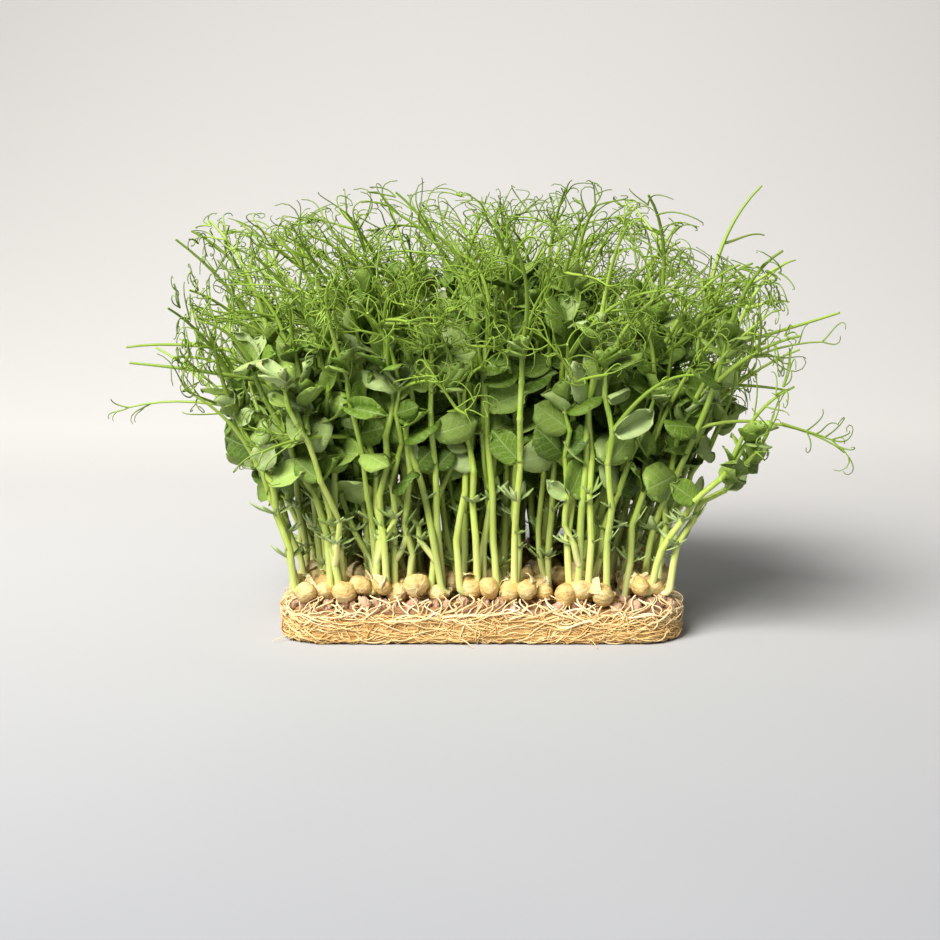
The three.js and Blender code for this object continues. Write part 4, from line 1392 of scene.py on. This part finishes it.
def makeCrownForms():
    collection = bpy.data.collections.new("crownForms")
    for number in range(crownLook["forms"]):
        def radiusAt(facing):
            lump = noise.noise(facing * 2.1 + Vector((number * 4.7, 1, 0)))
            fold = 0.12 * math.sin(7 * math.atan2(facing.y, facing.x) + 3 * facing.z + number)
            return (0.9 + 0.5 * lump + fold) * (1 + 0.35 * abs(facing.z))
        ballForm(f"crown_{number:02d}", collection, crownLook["around"], crownLook["levels"], radiusAt)
    return collection


crownForms = newForms()
for number in range(crownLook["edgeCount"]):
    draw = drawer("edgeCrown", number)
    share = (number + spread(draw, crownLook["play"])) / crownLook["edgeCount"]
    x, y, _ = outlinePoint(share, draw(*crownLook["inset"]))
    turnedForm(crownForms, (x, y, draw(*crownLook["height"])), draw, draw(*crownLook["size"]),
               math.floor(draw(0, crownLook["forms"])), draw(), crownLook["lean"])
for number, place in enumerate(plants + fills):
    draw = drawer("footCrown", number)
    spot = (place["foot"][0], place["foot"][1], draw(*crownLook["footHeight"]))
    turnedForm(crownForms, spot, draw, draw(*crownLook["size"]) * crownLook["footShare"],
               math.floor(draw(0, crownLook["forms"])), draw(), crownLook["footLean"])
print("pea shoots: roots laid,", sideLook["count"] + runnerLook["count"] + dropLook["count"])


# Finishes. Each is made of nodes, and the mottle and the veins are groups that several of them share.

def makeMottle():
    tree, given, out = newTree("mottle", "ShaderNodeTree", (
        ("Scale", "NodeSocketFloat", 300.0),
        ("Stretch", "NodeSocketVector", (1.0, 1.0, 1.0)),
        ("Detail", "NodeSocketFloat", 3.0),
        ("Low", "NodeSocketFloat", 0.35),
        ("High", "NodeSocketFloat", 0.65)), (("Mask", "NodeSocketFloat"),))
    place = addNode(tree, "ShaderNodeTexCoord").outputs["Object"]
    stretched = addNode(tree, "ShaderNodeMapping", {"Vector": place, "Scale": given["Stretch"]})
    cloud = addNode(tree, "ShaderNodeTexNoise", {
        "Vector": stretched.outputs["Vector"], "Scale": given["Scale"], "Detail": given["Detail"]})
    mask = addNode(tree, "ShaderNodeMapRange", {
        "Value": cloud.outputs["Fac"], "From Min": given["Low"], "From Max": given["High"]})
    tree.links.new(mask.outputs["Result"], out["Mask"])
    return tree


# A middle rib, slanting side veins and a fine net between them, on the leaf's own UV map.
def makeVeins():
    tree, given, out = newTree("leafVeins", "ShaderNodeTree", (
        ("Pairs", "NodeSocketFloat", 5.0),
        ("Slant", "NodeSocketFloat", 1.5),
        ("Net", "NodeSocketFloat", 9.0)), (("Mask", "NodeSocketFloat"),))

    def math1(operation, a, b=0.0):
        return addNode(tree, "ShaderNodeMath", {0: a, 1: b}, operation=operation).outputs[0]

    def line(distance, width):
        return addNode(tree, "ShaderNodeMapRange", {
            "Value": distance, "From Min": 0.0, "From Max": width, "To Min": 1.0, "To Max": 0.0}).outputs[0]

    uv = addNode(tree, "ShaderNodeUVMap", uv_map="UVMap").outputs["UV"]
    split = addNode(tree, "ShaderNodeSeparateXYZ", {"Vector": uv}).outputs
    side = math1("MULTIPLY", math1("ABSOLUTE", math1("SUBTRACT", split["X"], 0.5)), 2.0)
    step = math1("SUBTRACT", math1("MULTIPLY", split["Y"], given["Pairs"]),
                 math1("MULTIPLY", side, given["Slant"]))
    rib = line(side, 0.09)
    pairs = line(math1("ABSOLUTE", math1("SUBTRACT", math1("FRACT", step), 0.5)), 0.1)
    cells = addNode(tree, "ShaderNodeTexVoronoi", {"Vector": uv, "Scale": given["Net"]},
                    feature="DISTANCE_TO_EDGE")
    net = math1("MULTIPLY", line(cells.outputs["Distance"], 0.08), 0.45)
    both = math1("MAXIMUM", rib, math1("MULTIPLY", pairs, 0.7))
    tree.links.new(math1("MAXIMUM", both, net), out["Mask"])
    return tree


mottle = makeMottle()
veins = makeVeins()


def newFinish(name, roughness, specular, **plain):
    skin = bpy.data.materials.new(name)
    skin.use_nodes = True
    tree = skin.node_tree
    shader = tree.nodes["Principled BSDF"]
    shader.inputs["Roughness"].default_value = roughness
    shader.inputs["Specular IOR Level"].default_value = specular
    for socket, value in plain.items():
        shader.inputs[socket.replace("_", " ")].default_value = value
    return skin, tree, shader.inputs


def mottled(tree, scale, stretch=(1, 1, 1), detail=3.0, low=0.35, high=0.65):
    node = addNode(tree, "ShaderNodeGroup", node_tree=mottle)
    values = {"Scale": scale, "Stretch": stretch, "Detail": detail, "Low": low, "High": high}
    for label, value in values.items():
        node.inputs[label].default_value = value
    return node.outputs["Mask"]


def attributeOf(tree, name):
    return addNode(tree, "ShaderNodeAttribute", attribute_name=name).outputs["Fac"]


def placeOf(tree, axis):
    place = addNode(tree, "ShaderNodeTexCoord").outputs["Object"]
    return addNode(tree, "ShaderNodeSeparateXYZ", {"Vector": place}).outputs[axis]


def ramp(tree, factor, stops):
    node = addNode(tree, "ShaderNodeValToRGB", {"Fac": factor})
    band = node.color_ramp.elements
    while len(band) < len(stops):
        band.new(0.5)
    for element, (place, colour) in zip(band, stops):
        element.position = place
        element.color = (*colour, 1)
    return node.outputs["Color"]


def blended(tree, factor, a, b):
    node = addNode(tree, "ShaderNodeMix", data_type="RGBA")
    for socket, value in ((node.inputs[0], factor), (node.inputs[6], a), (node.inputs[7], b)):
        if isinstance(value, bpy.types.NodeSocket):
            tree.links.new(value, socket)
        else:
            socket.default_value = (*value, 1) if isinstance(value, tuple) else value
    return node.outputs[2]


def scaled(tree, value, low, high):
    node = addNode(tree, "ShaderNodeMapRange", {"Value": value, "To Min": low, "To Max": high})
    return node.outputs["Result"]


def painted(tree, inputs, colour, roughness):
    tree.links.new(colour, inputs["Base Color"])
    tree.links.new(roughness, inputs["Roughness"])


def raised(tree, inputs, height, distance, strength=0.6):
    bump = addNode(tree, "ShaderNodeBump", {"Height": height, "Distance": distance, "Strength": strength})
    tree.links.new(bump.outputs["Normal"], inputs["Normal"])


leafColours = {"stops": ((0.0, (0.045, 0.10, 0.004)), (0.3, (0.12, 0.21, 0.012)), (0.6, (0.26, 0.37, 0.07)),
                         (0.85, (0.43, 0.53, 0.23)), (1.0, (0.31, 0.44, 0.09))),
               "patch": (0.09, 0.18, 0.012), "vein": (0.46, 0.55, 0.25)}


def leafFinish():
    skin, tree, inputs = newFinish("leafGreen", 0.5, 0.25, Subsurface_Weight=0.08, Subsurface_Scale=0.001)
    base = ramp(tree, attributeOf(tree, "tint"), leafColours["stops"])
    patches = mottled(tree, 260, low=0.3, high=0.7)
    base = blended(tree, scaled(tree, patches, 0, 0.3), base, leafColours["patch"])
    veinMask = addNode(tree, "ShaderNodeGroup", node_tree=veins).outputs["Mask"]
    base = blended(tree, scaled(tree, veinMask, 0, 0.38), base, leafColours["vein"])
    painted(tree, inputs, base, scaled(tree, mottled(tree, 900), 0.42, 0.6))
    raised(tree, inputs, veinMask, -0.0003, 0.5)
    return skin


# A stem is cream where it leaves the mat and lime above. It is darker by its tint: a darker tone at random,
# and painted shade deep in the block.
stemColours = {"stops": ((0.0, (0.80, 0.70, 0.36)), (0.06, (0.74, 0.75, 0.28)), (0.2, (0.52, 0.61, 0.12)),
                         (0.5, (0.37, 0.50, 0.05)), (1.0, (0.23, 0.39, 0.02))),
               "streak": (0.74, 0.79, 0.36), "darkToneAndShade": (0.13, 0.24, 0.012)}


def stemFinish():
    skin, tree, inputs = newFinish("stemGreen", 0.34, 0.5, Subsurface_Weight=0.12, Subsurface_Scale=0.0015)
    base = ramp(tree, attributeOf(tree, "along"), stemColours["stops"])
    streaks = mottled(tree, 900, (1, 1, 0.06), 2.0, 0.4, 0.62)
    base = blended(tree, scaled(tree, streaks, 0, 0.3), base, stemColours["streak"])
    # Painted shade and a random darker tone, by the tint.
    base = blended(tree, scaled(tree, attributeOf(tree, "tint"), 0, 0.62), base, stemColours["darkToneAndShade"])
    painted(tree, inputs, base, scaled(tree, mottled(tree, 500), 0.28, 0.46))
    raised(tree, inputs, streaks, 0.00015, 0.4)
    return skin


# Stalks and threads, from root to end.
stalkColours = {"stops": ((0.0, (0.46, 0.60, 0.12)), (1.0, (0.30, 0.46, 0.05))),
                "threadStops": ((0.0, (0.32, 0.48, 0.06)), (0.5, (0.21, 0.35, 0.04)),
                                (1.0, (0.11, 0.16, 0.025))),
                "patch": (0.44, 0.56, 0.09), "darkToneAndShade": (0.10, 0.19, 0.01)}


def stalkFinish(name, stops, roughness):
    skin, tree, inputs = newFinish(name, roughness, 0.28, Subsurface_Weight=0.06, Subsurface_Scale=0.001)
    base = ramp(tree, attributeOf(tree, "along"), stops)
    patches = mottled(tree, 420, low=0.3, high=0.7)
    base = blended(tree, scaled(tree, patches, 0, 0.35), base, stalkColours["patch"])
    # Darker by the tint: a random tone, and painted shade for plants deep in the block.
    base = blended(tree, scaled(tree, attributeOf(tree, "tint"), 0, 0.72), base, stalkColours["darkToneAndShade"])
    painted(tree, inputs, base, scaled(tree, patches, roughness - 0.06, roughness + 0.08))
    return skin


# Peas and their skins get browner towards the mat, between the two heights.
peaColours = {"pea": ((0.77, 0.64, 0.34), (0.58, 0.38, 0.11), (0.40, 0.21, 0.05)),
              "skin": ((0.88, 0.78, 0.52), (0.72, 0.54, 0.25), (0.54, 0.34, 0.13)),
              "brownBelow": 0.0145, "paleAbove": 0.0205, "brownest": 0.75}


def peaFinish(name, pale, tan, spot):
    skin, tree, inputs = newFinish(name, 0.5, 0.35, Subsurface_Weight=0.15, Subsurface_Scale=0.002)
    base = blended(tree, mottled(tree, 230, low=0.3, high=0.72), pale, tan)
    base = blended(tree, scaled(tree, attributeOf(tree, "tint"), 0, 0.7), base, tan)
    base = blended(tree, scaled(tree, mottled(tree, 650, low=0.58, high=0.7), 0, 0.6), base, spot)
    low = addNode(tree, "ShaderNodeMapRange", {
        "Value": placeOf(tree, "Z"),
        "From Min": peaColours["brownBelow"], "From Max": peaColours["paleAbove"],
        "To Min": peaColours["brownest"], "To Max": 0.0})
    base = blended(tree, low.outputs["Result"], base, spot)
    wrinkles = mottled(tree, 420, (1, 1, 1.6), 5.0, 0.3, 0.7)
    painted(tree, inputs, base, scaled(tree, wrinkles, 0.42, 0.62))
    raised(tree, inputs, wrinkles, 0.0007, 0.7)
    return skin


crownColours = {"dark": (0.36, 0.19, 0.11), "pink": (0.60, 0.40, 0.29), "tan": (0.66, 0.46, 0.26)}


def crownFinish():
    skin, tree, inputs = newFinish("crownBrown", 0.55, 0.3)
    base = blended(tree, mottled(tree, 330), crownColours["dark"], crownColours["pink"])
    base = blended(tree, scaled(tree, attributeOf(tree, "tint"), 0, 0.5), base, crownColours["tan"])
    ridges = mottled(tree, 700, (1, 1, 0.4), 4.0)
    painted(tree, inputs, base, scaled(tree, ridges, 0.45, 0.68))
    raised(tree, inputs, ridges, 0.0008, 0.8)
    return skin


rootColours = {"strand": ((0.0, (0.28, 0.14, 0.07)), (0.2, (0.60, 0.35, 0.11)), (0.6, (0.86, 0.59, 0.25)),
                          (1.0, (0.94, 0.75, 0.42))),
               "strandShade": (0.62, 0.37, 0.12),
               "runner": ((0.0, (0.74, 0.50, 0.22)), (0.6, (0.88, 0.69, 0.40)), (1.0, (0.94, 0.82, 0.58))),
               "runnerShade": (0.70, 0.46, 0.20)}


def rootFinish(name, stops, shade):
    skin, tree, inputs = newFinish(name, 0.55, 0.3, Subsurface_Weight=0.06, Subsurface_Scale=0.001)
    base = ramp(tree, attributeOf(tree, "tint"), stops)
    patches = mottled(tree, 380, low=0.3, high=0.7)
    base = blended(tree, scaled(tree, patches, 0, 0.4), base, shade)
    painted(tree, inputs, base, scaled(tree, mottled(tree, 900), 0.45, 0.65))
    raised(tree, inputs, mottled(tree, 1400, detail=2.0), 0.0001, 0.5)
    return skin


# The felt turns browner on top, between the two heights, where the crowns stand: partly the crowns' own
# brown, partly painted shade under the peas and shoots.
feltColours = {"dark": (0.40, 0.21, 0.06), "gold": (0.76, 0.50, 0.20), "clump": (0.50, 0.29, 0.09),
               "top": (0.26, 0.13, 0.07), "goldBelow": 0.0118, "brownAbove": 0.0136}


def feltFinish():
    skin, tree, inputs = newFinish("feltGold", 0.7, 0.2)
    fibres = mottled(tree, 700, (0.16, 0.16, 1.6), 5.0, 0.36, 0.62)
    clumps = mottled(tree, 120, (1, 1, 2), 3.0)
    base = blended(tree, fibres, feltColours["dark"], feltColours["gold"])
    base = blended(tree, scaled(tree, clumps, 0, 0.5), base, feltColours["clump"])
    high = addNode(tree, "ShaderNodeMapRange", {
        "Value": placeOf(tree, "Z"),
        "From Min": feltColours["goldBelow"], "From Max": feltColours["brownAbove"]})
    # Painted shade, with the crowns' own brown: the felt turns dark brown on top.
    base = blended(tree, scaled(tree, high.outputs["Result"], 0, 0.85), base, feltColours["top"])
    painted(tree, inputs, base, scaled(tree, fibres, 0.6, 0.8))
    raised(tree, inputs, fibres, 0.0006, 0.9)
    return skin


finishes = {
    "leaf": leafFinish(),
    "stem": stemFinish(),
    "stalk": stalkFinish("stalkGreen", stalkColours["stops"], 0.42),
    "thread": stalkFinish("threadGreen", stalkColours["threadStops"], 0.46),
    "pea": peaFinish("peaCream", *peaColours["pea"]),
    "flap": peaFinish("peaSkin", *peaColours["skin"]),
    "crown": crownFinish(),
    "felt": feltFinish(),
    "strand": rootFinish("strandGold", rootColours["strand"], rootColours["strandShade"]),
    "runner": rootFinish("rootPale", rootColours["runner"], rootColours["runnerShade"]),
}
print("pea shoots: finishes made")


# Pieces. Each rides on the one body, and stands for the solids that it makes finer.

def settle(piece, nodes=()):
    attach(piece, "root")
    if nodes:
        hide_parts(*nodes)
    print("  piece:", piece.name, sum(len(p.vertices) - 2 for p in piece.data.polygons), "triangles")


def clearForms(collection):
    for keep in list(collection.objects):
        mesh = keep.data
        bpy.data.objects.remove(keep)
        bpy.data.meshes.remove(mesh)
    bpy.data.collections.remove(collection)


settle(makeFelt(finishes["felt"]), ["root_mat"])
settle(tubes("root_strands", strands, strandLook["sides"], finishes["strand"]), ["root_mat"])
settle(tubes("root_runners", runners, runnerLook["sides"], finishes["runner"]), ["root_mat"])

peaNodes = [f"pea_row_{row + 1}" for row in range(len(peaSize["rowCentres"]))]
for name, forms, maker, finish, slot in (
        ("root_crowns", crownForms, makeCrownForms, "crown", "roots"),
        ("swollen_peas", peaForms, makePeaForms, "pea", "peas"),
        ("pea_skins", flapForms, makeFlapForms, "flap", "peas")):
    collection = maker()
    piece = formCopies(name, forms, collection, finishes[finish])
    settle(piece, [] if slot == "roots" else peaNodes)
    clearForms(collection)

leafCollection = makeLeafForms()
for lane, bunch in enumerate(bunches):
    nodes = [f"shoot_{plant['number'] + 1:02d}" for plant in plants if plant["lane"] == lane]
    for name, paths, look, finish in (("stems", "stems", stemLook, "stem"),
                                      ("leaf_stalks", "stalks", stalkLook, "stalk"),
                                      ("tendrils", "threads", threadLook, "thread")):
        settle(tubes(f"{name}_{lane + 1}", bunch[paths], look["sides"], finishes[finish]), nodes)
    leaves = formCopies(f"leaves_{lane + 1}", bunch["leaves"], leafCollection, finishes["leaf"])
    settle(leaves, nodes)
clearForms(leafCollection)
print("pea shoots: pieces made")


# The stage: a pale sweep that curves up behind, a soft light from the upper left, a weak one opposite, and
# one for the wall. The sweep's colour goes from a darker, cool painted shade in front to pale behind.
stageLook = {"halfWidth": 3.2, "front": -2.4, "bend": 0.45, "radius": 1.5, "height": 3.4, "steps": 24,
             "colour": (0.80, 0.785, 0.765), "paintedShadeFront": (0.22, 0.23, 0.255), "paintedShadeTo": -0.5, "paleFrom": 0.7}


def makeSweep():
    bend, radius, steps = stageLook["bend"], stageLook["radius"], stageLook["steps"]
    profile = [(stageLook["front"], 0.0), (bend, 0.0)]
    for i in range(1, steps + 1):
        angle = math.pi / 2 * i / steps
        profile.append((bend + radius * math.sin(angle), radius * (1 - math.cos(angle))))
    profile.append((bend + radius, stageLook["height"]))
    wide = stageLook["halfWidth"]
    points = [(x, y, z) for y, z in profile for x in (-wide, wide)]
    faces = [(2 * i, 2 * i + 1, 2 * i + 3, 2 * i + 2) for i in range(len(profile) - 1)]
    mesh = bpy.data.meshes.new("sweep")
    mesh.from_pydata(points, [], faces)
    for polygon in mesh.polygons:
        polygon.use_smooth = True
    skin, tree, inputs = newFinish("sweepPale", 0.85, 0.1)
    back = addNode(tree, "ShaderNodeMapRange", {
        "Value": placeOf(tree, "Y"), "From Min": stageLook["paintedShadeTo"], "From Max": stageLook["paleFrom"]})
    grain = scaled(tree, mottled(tree, 3.0), 0, 0.05)
    # Painted shade: the sweep darkens to a cool grey towards the front.
    base = blended(tree, back.outputs["Result"], stageLook["paintedShadeFront"], stageLook["colour"])
    tree.links.new(blended(tree, grain, base, (0.7, 0.7, 0.7)), inputs["Base Color"])
    mesh.materials.append(skin)
    sweep = bpy.data.objects.new("sweep", mesh)
    bpy.context.scene.collection.objects.link(sweep)


def addLight(name, place, target, size, power, colour):
    light = bpy.data.lights.new(name, "AREA")
    light.shape = "SQUARE"
    light.size = size
    light.energy = power
    light.color = colour
    lamp = bpy.data.objects.new(name, light)
    lamp.location = place
    lamp.rotation_euler = (Vector(target) - Vector(place)).to_track_quat("-Z", "Y").to_euler()
    bpy.context.scene.collection.objects.link(lamp)


lights = [{"name": "key", "place": (-0.7, -1.05, 1.2), "target": (0, 0, 0.1), "size": 0.9, "power": 70,
           "colour": (1.0, 0.985, 0.95)},
          {"name": "fill", "place": (1.2, -1.0, 0.6), "target": (0, 0, 0.1), "size": 1.0, "power": 2,
           "colour": (0.98, 0.99, 1.0)},
          {"name": "wall", "place": (0.5, 0.35, 1.7), "target": (0.5, 1.9, 1.2), "size": 1.6, "power": 8,
           "colour": (1.0, 1.0, 1.0)}]
worldLook = {"colour": (0.92, 0.92, 0.92, 1), "strength": 0.05}

makeSweep()
for light in lights:
    addLight(**light)
world = bpy.data.worlds.new("paleRoom")
world.use_nodes = True
background = world.node_tree.nodes["Background"].inputs
background["Color"].default_value = worldLook["colour"]
background["Strength"].default_value = worldLook["strength"]
bpy.context.scene.world = world
bpy.context.scene.view_settings.view_transform = "Standard"

# The photograph's view: nearly level, from in front of the block's long side.
cameraLook = {"place": (-0.005, -0.619, 0.1425), "down": 7.0, "lens": 52}
camera = bpy.data.objects.new("camera", bpy.data.cameras.new("camera"))
camera.data.lens = cameraLook["lens"]
camera.location = cameraLook["place"]
camera.rotation_euler = (math.radians(90 - cameraLook["down"]), 0, 0)
bpy.context.scene.collection.objects.link(camera)
bpy.context.scene.camera = camera
print("pea shoots: stage, lights and camera set")
